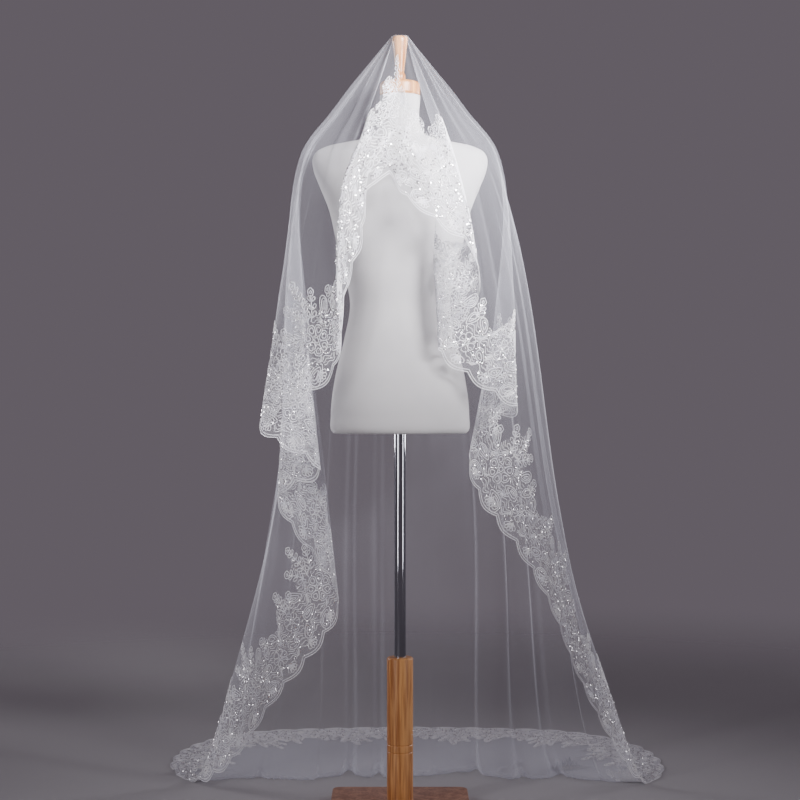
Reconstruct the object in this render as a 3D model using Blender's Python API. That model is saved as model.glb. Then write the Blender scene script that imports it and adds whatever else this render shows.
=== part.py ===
"""Bridal veil on a limbless dress form.

A long one-tier veil of tulle with a sprigged lace edging is laid over the finial of the form.
It falls in front in two cascades, over both shoulders, and behind onto the floor as a train.
Units are metres, +Z is up, the floor is z = 0 and the front of the veil looks along -Y.
"""

import bmesh
import bpy
import numpy as np

# Driving dimensions of the cloth
TULLE_WALL = 0.0010
LACE_WALL = 0.0014
SEAM = 0.0003
REPEAT_SIZE = 0.30
SCALLOPS_PER_REPEAT = 4
SCALLOP_DEPTH = 0.012
LACE_WIDTH = 0.125
SPRIG_HEIGHT = 0.095
CROWN_RADIUS = 0.018
CROWN_CLEARANCE = 0.0005
FOLD_ROUNDING = 0.028

# Shape of the lace's inner edge. Places and half widths are shares of a repeat, counted from
# the front centre to the left, and heights are shares of the tall sprig's.
SPRIG_PLACE = 0.50
SPRIG_HALF_WIDTH = 0.20
SPRIG_SHARPNESS = 1.2
BUD_PLACE = 0.86
BUD_HALF_WIDTH = 0.13
BUD_HEIGHT = 0.62
LEAF_PLACE = 0.18
LEAF_HALF_WIDTH = 0.11
LEAF_HEIGHT = 0.36

# Driving dimensions of the form
FINIAL_TOP = 1.660
FINIAL_RADIUS = 0.017
FINIAL_WAIST_RADIUS = 0.0085
FINIAL_BEAD_RADIUS = 0.0115
FINIAL_DOME_HEIGHT = 0.028
CAP_TOP = 1.564
CAP_HEIGHT = 0.030
CAP_RADIUS = 0.043
POLE_RADIUS = 0.0125
SLEEVE_TOP = 0.333
SLEEVE_RADIUS = 0.028
GROOVE_HEIGHTS = (0.131, 0.147)
GROOVE_DEPTH = 0.0015
BOARD_SIZE = 0.300
BOARD_THICKNESS = 0.020
BOARD_CORNER_RADIUS = 0.020
TORSO_BOTTOM = 0.812

# Height of the middle of the tulle where it lies on the floor, and on the finial
FLOOR_LEVEL = TULLE_WALL / 2
CROWN_LEVEL = FINIAL_TOP + CROWN_CLEARANCE + TULLE_WALL / 2

# Places along the hem, a row for each turn of the cascades: x, y, z.
# The rows run from the front centre down the left side, round the train and up the right side.
RIM = (
    # front edge, left half, with the narrow turned strip
    (-0.015, -0.175, 1.345),
    (-0.070, -0.180, 1.305),
    (-0.070, -0.165, 1.220),
    (-0.115, -0.140, 1.090),
    (-0.135, -0.145, 0.930),
    (-0.255, -0.110, 0.850),
    # left corner, then the left side in three turns
    (-0.305, -0.070, 0.820),
    (-0.230, -0.020, 0.770),
    (-0.155, 0.010, 0.720),
    (-0.255, 0.055, 0.685),
    (-0.270, 0.085, 0.645),
    (-0.190, 0.108, 0.530),
    (-0.130, 0.132, 0.430),
    (-0.170, 0.150, 0.340),
    (-0.285, 0.172, 0.200),
    (-0.380, 0.208, 0.060),
    # train on the floor
    (-0.460, 0.300, 0.000),
    (-0.556, 0.454, 0.000),
    (-0.530, 0.680, 0.000),
    (-0.400, 0.840, 0.000),
    (-0.200, 0.890, 0.000),
    (0.020, 0.905, 0.000),
    (0.240, 0.895, 0.000),
    (0.450, 0.850, 0.000),
    (0.600, 0.690, 0.000),
    (0.637, 0.450, 0.000),
    (0.555, 0.285, 0.000),
    # right side, rising to the right corner
    (0.480, 0.208, 0.105),
    (0.400, 0.180, 0.260),
    (0.335, 0.145, 0.420),
    (0.255, 0.115, 0.555),
    (0.175, 0.085, 0.655),
    (0.145, 0.050, 0.760),
    (0.190, 0.000, 0.830),
    (0.260, -0.050, 0.850),
    # front edge, right half, turning left and right on its way up
    (0.200, -0.090, 0.885),
    (0.105, -0.120, 0.950),
    (0.065, -0.134, 0.985),
    (0.120, -0.157, 1.030),
    (0.165, -0.175, 1.100),
    (0.142, -0.197, 1.195),
    (0.090, -0.204, 1.220),
    (0.045, -0.205, 1.265),
    (0.000, -0.195, 1.290),
)

# Where the cloth that ends at a row of the hem passes shoulder height: hem row, x, y, z,
# and the turn in degrees at which it leaves the finial, counted from the front to the left.
SHOULDER = (
    (0, -0.010, -0.110, 1.490, 0),
    (1, -0.055, -0.118, 1.475, 25),
    (2, -0.080, -0.128, 1.430, 38),
    (3, -0.102, -0.140, 1.395, 46),
    (4, -0.125, -0.127, 1.385, 54),
    (5, -0.168, -0.088, 1.390, 65),
    (6, -0.197, -0.050, 1.402, 80),
    (8, -0.201, -0.010, 1.408, 92),
    (10, -0.203, 0.012, 1.410, 98),
    (12, -0.198, 0.035, 1.412, 106),
    (14, -0.198, 0.055, 1.412, 112),
    (16, -0.193, 0.072, 1.412, 120),
    (18, -0.155, 0.090, 1.425, 135),
    (20, -0.070, 0.100, 1.440, 160),
    (21, 0.005, 0.102, 1.445, 180),
    (22, 0.080, 0.100, 1.440, 200),
    (24, 0.160, 0.090, 1.425, 225),
    (26, 0.193, 0.075, 1.412, 240),
    (28, 0.199, 0.055, 1.412, 247),
    (30, 0.202, 0.030, 1.412, 254),
    (32, 0.203, 0.000, 1.410, 262),
    (34, 0.197, -0.050, 1.402, 280),
    (36, 0.125, -0.095, 1.390, 300),
    (37, 0.078, -0.112, 1.395, 308),
    (38, 0.080, -0.128, 1.410, 315),
    (39, 0.098, -0.148, 1.420, 322),
    (40, 0.086, -0.152, 1.450, 330),
    (42, 0.035, -0.125, 1.480, 345),
    (43, 0.008, -0.116, 1.488, 354),
)

# Where it passes half way down its fall: hem row, x, y, z
FALL = (
    (0, -0.012, -0.155, 1.400),
    (1, -0.075, -0.165, 1.365),
    (2, -0.115, -0.190, 1.300),
    (3, -0.125, -0.187, 1.190),
    (4, -0.140, -0.170, 1.105),
    (5, -0.215, -0.110, 1.120),
    (6, -0.256, -0.060, 1.135),
    (8, -0.205, -0.005, 1.120),
    (10, -0.250, 0.038, 1.080),
    (12, -0.190, 0.080, 0.980),
    (14, -0.255, 0.108, 0.795),
    (16, -0.285, 0.188, 0.620),
    (18, -0.270, 0.240, 0.640),
    (20, -0.130, 0.245, 0.650),
    (21, 0.010, 0.250, 0.650),
    (22, 0.150, 0.248, 0.650),
    (24, 0.325, 0.242, 0.600),
    (26, 0.372, 0.195, 0.520),
    (28, 0.345, 0.122, 0.685),
    (30, 0.275, 0.085, 0.860),
    (32, 0.200, 0.020, 1.050),
    (34, 0.245, -0.050, 1.095),
    (36, 0.120, -0.108, 1.130),
    (37, 0.052, -0.133, 1.170),
    (38, 0.100, -0.160, 1.200),
    (39, 0.146, -0.178, 1.230),
    (40, 0.124, -0.190, 1.290),
    (42, 0.040, -0.183, 1.345),
    (43, 0.000, -0.170, 1.385),
)

# Where the train's cloth meets the floor: hem row, x, y
CONTACT = (
    (17, -0.465, 0.330),
    (18, -0.400, 0.340),
    (19, -0.270, 0.352),
    (20, -0.140, 0.358),
    (21, 0.010, 0.360),
    (22, 0.160, 0.358),
    (23, 0.300, 0.352),
    (24, 0.430, 0.340),
    (25, 0.540, 0.315),
)

# Soft folds that run down the back: hem row, height, half width along the hem
BACK_FOLDS = (
    (18.2, 0.012, 0.060),
    (19.3, -0.010, 0.055),
    (20.1, 0.013, 0.060),
    (21.0, -0.008, 0.050),
    (21.9, 0.012, 0.055),
    (22.8, -0.012, 0.060),
    (23.6, 0.014, 0.060),
    (24.5, -0.010, 0.055),
)

# The taut start of each line below the finial, as a share of the way up from the shoulder
TAUT_SHARE = 0.35

# The lower point of each line, as a share of the way from its fall to the hem: more near the floor
LOWER_SHARE = 0.50
LOWER_GROWTH = 0.43
LOWER_REACH = 0.08

# The back folds' fading, as shares of a line's length: full above the first, none past the second
FOLD_START = 0.22
FOLD_END = 0.92
FOLD_FADE = 0.45

# How far the hem's slant is read up the cloth, its limit, and the stretch of hem it is evened over
LEAN_ROW = 8
LEAN_LIMIT = 0.75
LEAN_SPREAD = 0.20

# Stretches of the cloth, in order round the hem: first hem row, lace piece, tulle piece
STRETCHES = (
    (0, "lace_front_left", "tulle_front_left"),
    (6, "lace_left_side", "tulle_left_fall"),
    (16, "lace_train", "tulle_back_left"),
    (21, "lace_train", "tulle_back_right"),
    (26, "lace_right_side", "tulle_right_fall"),
    (34, "lace_front_right", "tulle_front_right"),
)

# Hem rows between which the tulle lies on the floor as the train
TRAIN_ROWS = (16, 26)

# Fineness of the cloth: the band's rows by depth, the fan's rows by share of the way up
FAN_COLUMNS = 117
BAND_PER_FAN = 3
BAND_STEPS = (0.045, 0.088)
FAN_START = 0.235
FAN_ROWS = (0.0, 0.14, 0.28, 0.42, 0.56, 0.70, 0.83, 0.94, 1.0)
FAN_EASING = 0.5
CONTACT_ROW = 1
CONTACT_LIMITS = (0.06, 0.30)
CROWN_ROW = 6

# Fineness of the surface that the cloth is read from
HEM_SAMPLES = 8001
LINE_SAMPLES = 40
FINE_COLUMNS = 1600
FINE_ROWS = 161
TINY = 1e-9

# Sections of the torso: z, half width, depth to the front, depth to the back
TORSO = (
    (0.8120, 0.142, 0.100, 0.098),
    (0.8180, 0.147, 0.105, 0.103),
    (0.8500, 0.148, 0.108, 0.107),
    (0.9300, 0.139, 0.103, 0.104),
    (1.0100, 0.120, 0.095, 0.092),
    (1.0860, 0.107, 0.090, 0.082),
    (1.1600, 0.120, 0.100, 0.086),
    (1.2300, 0.138, 0.108, 0.093),
    (1.2900, 0.152, 0.098, 0.097),
    (1.3400, 0.172, 0.084, 0.092),
    (1.3750, 0.185, 0.070, 0.080),
    (1.3980, 0.187, 0.060, 0.068),
    (1.4130, 0.180, 0.052, 0.058),
    (1.4240, 0.160, 0.046, 0.050),
    (1.4330, 0.120, 0.044, 0.046),
    (1.4410, 0.080, 0.042, 0.044),
    (1.4520, 0.053, 0.041, 0.042),
    (1.4700, 0.044, 0.040, 0.040),
    (1.5337, 0.043, 0.040, 0.040),
)
TORSO_SIDES = 32
TORSO_SQUARENESS = 0.92
ROUND_SIDES = 32
ROD_SIDES = 24
EDGE = 0.003
BEAD_HEIGHT = 0.020
CREASE_ANGLE = 40


def closed_curve(stations, values, period, where):
    """Read a smooth closed curve through values at stations; each slope is its neighbours' chord."""
    stations = np.asarray(stations, float)
    values = np.asarray(values, float)
    knots = np.concatenate([stations[-2:] - period, stations, stations[:2] + period])
    points = np.concatenate([values[-2:], values, values[:2]])
    slopes = (points[2:] - points[:-2]) / (knots[2:] - knots[:-2])[:, None]
    knots = knots[1:-1]
    points = points[1:-1]
    where = np.mod(where - stations[0], period) + stations[0]
    left = np.clip(np.searchsorted(knots, where, side="right") - 1, 0, len(knots) - 2)
    width = knots[left + 1] - knots[left]
    t = ((where - knots[left]) / width)[:, None]
    width = width[:, None]
    return (
        (2 * t**3 - 3 * t**2 + 1) * points[left]
        + (t**3 - 2 * t**2 + t) * width * slopes[left]
        + (3 * t**2 - 2 * t**3) * points[left + 1]
        + (t**3 - t**2) * width * slopes[left + 1]
    )


def unwrapped_turn(where):
    """Angle in radians at which the cloth of a hem row leaves the finial, growing all the way round."""
    rows = [row[0] for row in SHOULDER] + [len(RIM)]
    turns = [row[4] for row in SHOULDER] + [360]
    return np.radians(np.interp(where, rows, turns))


def spoke_controls(rows):
    """The points that each line of cloth follows, from the hem up to the finial."""
    period = len(RIM)
    hem = closed_curve(range(period), RIM, period, rows)
    fall = closed_curve([r[0] for r in FALL], [r[1:4] for r in FALL], period, rows)
    shoulder = closed_curve([r[0] for r in SHOULDER], [r[1:4] for r in SHOULDER], period, rows)
    fixed = {r[0]: (r[1], r[2], 0.0) for r in CONTACT}
    whole = np.arange(period, dtype=float)
    ends = np.array(RIM)
    from_fall = closed_curve([r[0] for r in FALL], [r[1:4] for r in FALL], period, whole)
    down = LOWER_SHARE + LOWER_GROWTH * np.exp(-ends[:, 2:] / LOWER_REACH)
    between = from_fall + down * (ends - from_fall)
    lower = np.array([fixed.get(k, between[k]) for k in range(period)])
    lower = closed_curve(range(period), lower, period, rows)
    turn = unwrapped_turn(rows)
    crown = np.stack(
        [
            -CROWN_RADIUS * np.sin(turn),
            -CROWN_RADIUS * np.cos(turn),
            np.full(len(rows), CROWN_LEVEL),
        ],
        axis=1,
    )
    taut = shoulder + TAUT_SHARE * (crown - shoulder)
    return np.stack([hem, lower, fall, shoulder, taut, crown], axis=1)


def smooth_spokes(controls):
    """Run a smooth curve through each row's control points; each slope is the mean of its two chords."""
    steps = np.diff(controls, axis=1)
    lengths = np.linalg.norm(steps, axis=2, keepdims=True)
    chords = steps / lengths
    inner = (chords[:, :-1] + chords[:, 1:]) / 2
    slopes = np.concatenate([chords[:, :1], inner, chords[:, -1:]], axis=1)
    t = np.linspace(0, 1, LINE_SAMPLES, endpoint=False)[None, :, None]
    pieces = []
    for k in range(controls.shape[1] - 1):
        start, end = controls[:, k, None], controls[:, k + 1, None]
        width = lengths[:, k, None]
        pieces.append(
            (2 * t**3 - 3 * t**2 + 1) * start
            + (t**3 - 2 * t**2 + t) * width * slopes[:, k, None]
            + (3 * t**2 - 2 * t**3) * end
            + (t**3 - t**2) * width * slopes[:, k + 1, None]
        )
    pieces.append(controls[:, -1:])
    return np.concatenate(pieces, axis=1)


class Cloth:
    """The veil's middle surface, read by distance along the hem and up the cloth from it."""

    def __init__(self):
        dense = np.linspace(0, len(RIM), HEM_SAMPLES)
        hem = spoke_controls(dense)[:, 0]
        run = np.concatenate([[0], np.cumsum(np.linalg.norm(np.diff(hem, axis=0), axis=1))])
        self.hem_length = run[-1]
        self.row_of = lambda s: np.interp(np.mod(s, self.hem_length), run, dense)
        self.place_of = lambda row: np.interp(row, dense, run)
        self.step = self.hem_length / FINE_COLUMNS
        places = np.arange(FINE_COLUMNS) * self.step
        curves = smooth_spokes(spoke_controls(self.row_of(places)))
        lengths = np.linalg.norm(np.diff(curves, axis=1), axis=2)
        runs = np.concatenate([np.zeros((FINE_COLUMNS, 1)), np.cumsum(lengths, axis=1)], axis=1)
        self.length = runs[:, -1]
        self.contact = runs[:, LINE_SAMPLES] / self.length
        share = np.linspace(0, 1, FINE_ROWS)
        self.points = np.empty((FINE_COLUMNS, FINE_ROWS, 3))
        for i in range(FINE_COLUMNS):
            along = runs[i] / self.length[i]
            for axis in range(3):
                self.points[i, :, axis] = np.interp(share, along, curves[i, :, axis])
        self.points = self.evened(self.points, FOLD_ROUNDING)
        self.points += self.normals() * self.back_folds(places, share)[:, :, None]
        self.points[:, :, 2] = np.maximum(self.points[:, :, 2], FLOOR_LEVEL)
        self.lean = self.hem_lean()

    def evened(self, table, spread):
        """Weighted mean along the hem, with a bell of the given half width."""
        reach = int(np.ceil(3 * spread / self.step))
        offsets = np.arange(-reach, reach + 1)
        weights = np.exp(-0.5 * (offsets * self.step / spread) ** 2)
        weights /= weights.sum()
        return sum(w * np.roll(table, int(k), axis=0) for w, k in zip(weights, offsets))

    def normals(self):
        """Unit normals that point out of the veil, from the differences of the fine grid."""
        along = np.roll(self.points, -1, axis=0) - np.roll(self.points, 1, axis=0)
        up = np.gradient(self.points, axis=1)
        normal = np.cross(up, along)
        return normal / np.linalg.norm(normal, axis=2, keepdims=True)

    def back_folds(self, places, share):
        """Height of the soft folds: a bell across each, fading at the shoulder and on the train."""
        height = np.zeros((len(places), len(share)))
        fade = np.clip(share / FOLD_START, 0, 1) ** 2
        fade *= np.clip((FOLD_END - share) / FOLD_FADE, 0, 1)
        for row, rise, width in BACK_FOLDS:
            bell = np.exp(-(((places - self.place_of(row)) / width) ** 2))
            height += rise * bell[:, None] * fade[None, :]
        return height

    def hem_lean(self):
        """Cosine of the angle between the hem and the cloth's lines, evened out along the hem."""
        hem = self.points[:, 0]
        along = np.roll(hem, -2, axis=0) - np.roll(hem, 2, axis=0)
        along /= np.linalg.norm(along, axis=1, keepdims=True)
        inner = self.points[:, LEAN_ROW] - hem
        inner /= np.linalg.norm(inner, axis=1, keepdims=True)
        lean = np.clip((along * inner).sum(axis=1), -LEAN_LIMIT, LEAN_LIMIT)
        return self.evened(lean, LEAN_SPREAD)

    def column_value(self, table, place):
        """Read a value kept for each fine column."""
        x = np.mod(place / self.step, FINE_COLUMNS)
        low = np.floor(x).astype(int) % FINE_COLUMNS
        share = x - np.floor(x)
        return table[low] * (1 - share) + table[(low + 1) % FINE_COLUMNS] * share

    def at(self, place, share):
        """Point at a place along the hem and a share of the way up to the finial."""
        x = np.mod(place / self.step, FINE_COLUMNS)
        low = np.floor(x).astype(int) % FINE_COLUMNS
        fx = (x - np.floor(x))[..., None]
        y = np.clip(share, 0, 1) * (FINE_ROWS - 1)
        base = np.minimum(y.astype(int), FINE_ROWS - 2)
        fy = (y - base)[..., None]
        high = (low + 1) % FINE_COLUMNS
        near = self.points[low, base] * (1 - fy) + self.points[low, base + 1] * fy
        far = self.points[high, base] * (1 - fy) + self.points[high, base + 1] * fy
        return near * (1 - fx) + far * fx

    def band(self, place, depth):
        """Spoke and share of the point that lies at a depth square in from a place on the hem."""
        lean = self.column_value(self.lean, place)
        rise = np.sqrt(1 - lean**2)
        spoke = place - depth * lean / rise
        share = depth / rise / self.column_value(self.length, spoke)
        return spoke, share


def scallop(place):
    """Depth of the notches between the scallops: 0 at a scallop's tip."""
    phase = place / REPEAT_SIZE * SCALLOPS_PER_REPEAT
    return SCALLOP_DEPTH * (1 - np.abs(np.sin(np.pi * phase)))


def sprig(place):
    """Depth of the lace's inner edge: a tall sprig, a bud and a leaf for each repeat."""

    def aside(middle):
        return np.abs(np.mod(place / REPEAT_SIZE - middle + 0.5, 1.0) - 0.5)

    tall = np.clip(1 - aside(SPRIG_PLACE) / SPRIG_HALF_WIDTH, 0, 1) ** SPRIG_SHARPNESS
    bud = BUD_HEIGHT * np.clip(1 - aside(BUD_PLACE) / BUD_HALF_WIDTH, 0, 1)
    leaf = LEAF_HEIGHT * np.clip(1 - aside(LEAF_PLACE) / LEAF_HALF_WIDTH, 0, 1)
    return LACE_WIDTH + SPRIG_HEIGHT * np.maximum(np.maximum(tall, bud), leaf)


class Net:
    """Points and faces of the whole veil, with the name of the piece that each face belongs to."""

    def __init__(self):
        self.points = np.empty((0, 3))
        self.faces = {}

    def add_points(self, points):
        start = len(self.points)
        self.points = np.concatenate([self.points, points])
        return np.arange(start, len(self.points))

    def add_face(self, name, corners):
        self.faces.setdefault(name, []).append(tuple(int(c) for c in corners))

    def add_quad(self, name, a, b, c, d):
        """Two triangles, split along the shorter diagonal, so that both faces of the wall match."""
        one = np.linalg.norm(self.points[a] - self.points[c])
        other = np.linalg.norm(self.points[b] - self.points[d])
        if one <= other:
            self.add_face(name, (a, b, c))
            self.add_face(name, (a, c, d))
        else:
            self.add_face(name, (a, b, d))
            self.add_face(name, (b, c, d))

    def vertex_normals(self):
        """Mean direction of the faces that meet at each point, each weighted by its corner's angle."""
        total = np.zeros_like(self.points)
        for faces in self.faces.values():
            for face in faces:
                corners = self.points[list(face)]
                before = np.roll(corners, 1, axis=0) - corners
                after = np.roll(corners, -1, axis=0) - corners
                before /= np.linalg.norm(before, axis=1, keepdims=True)
                after /= np.linalg.norm(after, axis=1, keepdims=True)
                turn = np.cross(after, before)
                size = np.linalg.norm(turn, axis=1, keepdims=True)
                angle = np.arctan2(size, (before * after).sum(axis=1, keepdims=True))
                total[list(face)] += turn / np.maximum(size, TINY) * angle
        return total / np.linalg.norm(total, axis=1, keepdims=True)


def column_of(cloth, row):
    """Column of the band at a row of the hem, rounded to a column of the fan."""
    share = float(cloth.place_of(row)) / cloth.hem_length
    return BAND_PER_FAN * round(share * FAN_COLUMNS)


def build_net(cloth):
    """Lay the band and the fan of the veil out as one net of quads and triangles."""
    net = Net()
    count = BAND_PER_FAN * FAN_COLUMNS
    repeats = round(cloth.hem_length / REPEAT_SIZE)
    places = np.arange(count) / count * cloth.hem_length
    pattern = places / cloth.hem_length * repeats * REPEAT_SIZE
    starts = [column_of(cloth, first) for first, _, _ in STRETCHES]
    lace_names = [lace for _, lace, _ in STRETCHES]
    tulle_names = [tulle for _, _, tulle in STRETCHES]

    def part_of(names, column):
        return names[int(np.searchsorted(starts, column, side="right")) - 1]

    # The band: scalloped edge, two inner rows, sprigged edge
    depths = [scallop(pattern), *(np.full(count, d) for d in BAND_STEPS), sprig(pattern)]
    rings = []
    for depth in depths:
        spoke, share = cloth.band(places, depth)
        rings.append(net.add_points(cloth.at(spoke, share)))
    for low, high in zip(rings[:-1], rings[1:]):
        for i in range(count):
            j = (i + 1) % count
            name = part_of(lace_names, i)
            net.add_quad(name, low[i], high[i], high[j], low[j])

    # The fan: a row just past the sprigs, then rows up to the finial, every third column of the band
    own = np.arange(0, count, BAND_PER_FAN)
    spoke, share = cloth.band(places[own], np.full(FAN_COLUMNS, FAN_START))
    contact = cloth.column_value(cloth.contact, spoke)
    contact = np.clip((contact - share) / (1 - share), *CONTACT_LIMITS)
    train_start, train_end = (column_of(cloth, row) for row in TRAIN_ROWS)
    trained = (own >= train_start) & (own <= train_end)
    level = FAN_ROWS[CONTACT_ROW]
    contact = np.where(trained, contact, level)
    rows = []
    for fraction in FAN_ROWS:
        warped = np.where(
            fraction <= level,
            fraction / level * contact,
            contact + (fraction - level) / (1 - level) * (1 - contact),
        )
        points = cloth.at(spoke, share + warped * (1 - share))
        beside = (np.roll(points, 1, axis=0) + np.roll(points, -1, axis=0)) / 2
        rows.append(net.add_points(points + FAN_EASING * (beside - points)))

    def fan_name(column, row):
        if row >= CROWN_ROW:
            return "tulle_crown"
        if row <= CONTACT_ROW and train_start <= BAND_PER_FAN * column < train_end:
            return "tulle_train"
        return part_of(tulle_names, BAND_PER_FAN * column)

    edge = rings[-1]
    first = rows[0]
    for k in range(FAN_COLUMNS):
        m = (k + 1) % FAN_COLUMNS
        a, b, c, d = (edge[(BAND_PER_FAN * k + n) % count] for n in range(4))
        name = fan_name(k, 0)
        net.add_face(name, (a, first[k], b))
        net.add_quad(name, b, first[k], first[m], c)
        net.add_face(name, (c, first[m], d))
    for r in range(len(rows) - 1):
        low, high = rows[r], rows[r + 1]
        for k in range(FAN_COLUMNS):
            m = (k + 1) % FAN_COLUMNS
            net.add_quad(fan_name(k, r + 1), low[k], high[k], high[m], low[m])
    centre = net.add_points(np.array([[0.0, 0.0, CROWN_LEVEL]]))[0]
    top = rows[-1]
    for k in range(FAN_COLUMNS):
        net.add_face("tulle_crown", (top[k], centre, top[(k + 1) % FAN_COLUMNS]))
    return net


def wall(name, net, normals, thickness, lift, material):
    """Give a piece of the net its wall: both faces moved along the normals, closed round the edge."""
    faces = net.faces[name]
    used = np.unique(np.concatenate([np.array(face) for face in faces]))
    index = {int(v): n for n, v in enumerate(used)}
    faces = [tuple(index[v] for v in face) for face in faces]
    points = net.points[used]
    normals = normals[used]
    directed = set()
    for face in faces:
        for a, b in zip(face, face[1:] + face[:1]):
            directed.add((a, b))
    border = [(a, b) for a, b in directed if (b, a) not in directed]
    inward = np.zeros_like(points)
    for a, b in border:
        along = points[b] - points[a]
        side = np.cross(normals[a] + normals[b], along)
        side /= max(np.linalg.norm(side), TINY)
        inward[a] += side
        inward[b] += side
    size = np.linalg.norm(inward, axis=1, keepdims=True)
    moved = points + inward / np.maximum(size, TINY) * SEAM / 2
    outer = moved + normals * (lift + thickness / 2)
    inner = moved + normals * (lift - thickness / 2)
    total = len(points)
    solid = list(faces)
    solid += [tuple(v + total for v in reversed(face)) for face in faces]
    solid += [(b, a, a + total, b + total) for a, b in border]
    return mesh_object(name, np.concatenate([outer, inner]), solid, material)


def mesh_object(name, points, faces, material):
    """One named object from points and faces, its faces turned outwards."""
    mesh = bpy.data.meshes.new(name)
    mesh.from_pydata([tuple(p) for p in points], [], faces)
    work = bmesh.new()
    work.from_mesh(mesh)
    bmesh.ops.triangulate(work, faces=work.faces)
    bmesh.ops.recalc_face_normals(work, faces=work.faces)
    work.to_mesh(mesh)
    work.free()
    mesh.shade_smooth()
    mesh.set_sharp_from_angle(angle=np.radians(CREASE_ANGLE))
    mesh.materials.append(material)
    thing = bpy.data.objects.new(name, mesh)
    bpy.context.scene.collection.objects.link(thing)
    return thing


def stacked_rings(rings):
    """Points and faces of a closed body through rings of the same number of points."""
    sides = len(rings[0])
    points = np.concatenate(rings)
    faces = []
    for r in range(len(rings) - 1):
        for k in range(sides):
            m = (k + 1) % sides
            low, high = r * sides, (r + 1) * sides
            faces.append((low + k, low + m, high + m, high + k))
    faces.append(tuple(reversed(range(sides))))
    faces.append(tuple(range(len(points) - sides, len(points))))
    return points, faces


def turned(profile, sides):
    """Rings of a turned piece from its profile of radius and height."""
    angle = np.arange(sides) / sides * 2 * np.pi
    return [
        np.stack([radius * np.cos(angle), radius * np.sin(angle), np.full(sides, height)], axis=1)
        for radius, height in profile
    ]


def torso_rings():
    """Rounded sections of the torso, flatter than an ellipse at the front and the back."""
    angle = np.arange(TORSO_SIDES) / TORSO_SIDES * 2 * np.pi
    rings = []
    for height, width, front, back in TORSO:
        across = width * np.sign(np.cos(angle)) * np.abs(np.cos(angle)) ** TORSO_SQUARENESS
        deep = np.sign(np.sin(angle)) * np.abs(np.sin(angle)) ** TORSO_SQUARENESS
        along = np.where(deep > 0, back * deep, front * deep)
        rings.append(np.stack([across, along, np.full(TORSO_SIDES, height)], axis=1))
    return rings


def principled(name, colour, roughness, metallic=0.0):
    """A plain material."""
    material = bpy.data.materials.new(name)
    material.use_nodes = True
    shader = material.node_tree.nodes["Principled BSDF"]
    shader.inputs["Base Color"].default_value = (*colour, 1.0)
    shader.inputs["Roughness"].default_value = roughness
    shader.inputs["Metallic"].default_value = metallic
    material.diffuse_color = (*colour, 1.0)
    return material


def build_form():
    """The dress form: torso, neck cap, finial, pole, pole sleeve and base board."""
    jersey = principled("form_jersey", (0.80, 0.79, 0.78), 0.85)
    pine = principled("turned_pine", (0.72, 0.42, 0.22), 0.45)
    chrome = principled("pole_chrome", (0.75, 0.75, 0.76), 0.15, 1.0)
    brown = principled("base_wood", (0.36, 0.18, 0.10), 0.50)
    mesh_object("form_torso", *stacked_rings(torso_rings()), jersey)

    cap_bottom = CAP_TOP - CAP_HEIGHT
    cap = [
        (CAP_RADIUS - EDGE, cap_bottom),
        (CAP_RADIUS, cap_bottom + EDGE),
        (CAP_RADIUS, CAP_TOP - 2 * EDGE),
        (CAP_RADIUS - EDGE, CAP_TOP - EDGE / 2),
        (CAP_RADIUS - 3 * EDGE, CAP_TOP),
    ]
    mesh_object("neck_cap", *stacked_rings(turned(cap, ROUND_SIDES)), pine)

    foot = CAP_TOP + SEAM
    finial = [
        (FINIAL_WAIST_RADIUS, foot),
        (FINIAL_BEAD_RADIUS, foot + BEAD_HEIGHT * 0.3),
        (FINIAL_BEAD_RADIUS, foot + BEAD_HEIGHT * 0.7),
        (FINIAL_WAIST_RADIUS, foot + BEAD_HEIGHT),
        (FINIAL_RADIUS * 0.82, FINIAL_TOP - FINIAL_DOME_HEIGHT),
        (FINIAL_RADIUS, FINIAL_TOP - FINIAL_DOME_HEIGHT / 3),
        (FINIAL_RADIUS, FINIAL_TOP - EDGE),
        (FINIAL_RADIUS - EDGE / 2, FINIAL_TOP),
    ]
    mesh_object("finial", *stacked_rings(turned(finial, ROD_SIDES)), pine)

    pole = [(POLE_RADIUS, SLEEVE_TOP + SEAM), (POLE_RADIUS, TORSO_BOTTOM - SEAM)]
    mesh_object("pole", *stacked_rings(turned(pole, ROD_SIDES)), chrome)

    sleeve = [(SLEEVE_RADIUS, BOARD_THICKNESS + SEAM)]
    for height in GROOVE_HEIGHTS:
        sleeve += [
            (SLEEVE_RADIUS, height - GROOVE_DEPTH),
            (SLEEVE_RADIUS - GROOVE_DEPTH, height),
            (SLEEVE_RADIUS, height + GROOVE_DEPTH),
        ]
    sleeve += [(SLEEVE_RADIUS, SLEEVE_TOP - EDGE), (SLEEVE_RADIUS - EDGE, SLEEVE_TOP)]
    mesh_object("pole_sleeve", *stacked_rings(turned(sleeve, ROUND_SIDES)), pine)

    inner = BOARD_SIZE / 2 - BOARD_CORNER_RADIUS
    angle = (np.arange(ROD_SIDES) + 0.5) / ROD_SIDES * 2 * np.pi
    corner = inner * np.sign(np.stack([np.cos(angle), np.sin(angle)], axis=1))
    arc = np.stack([np.cos(angle), np.sin(angle)], axis=1)
    board = []
    levels = ((0, EDGE), (EDGE, 0), (BOARD_THICKNESS - EDGE, 0), (BOARD_THICKNESS, EDGE))
    for height, inset in levels:
        outline = corner + arc * (BOARD_CORNER_RADIUS - inset)
        board.append(np.column_stack([outline, np.full(len(angle), height)]))
    mesh_object("base_board", *stacked_rings(board), brown)


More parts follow.
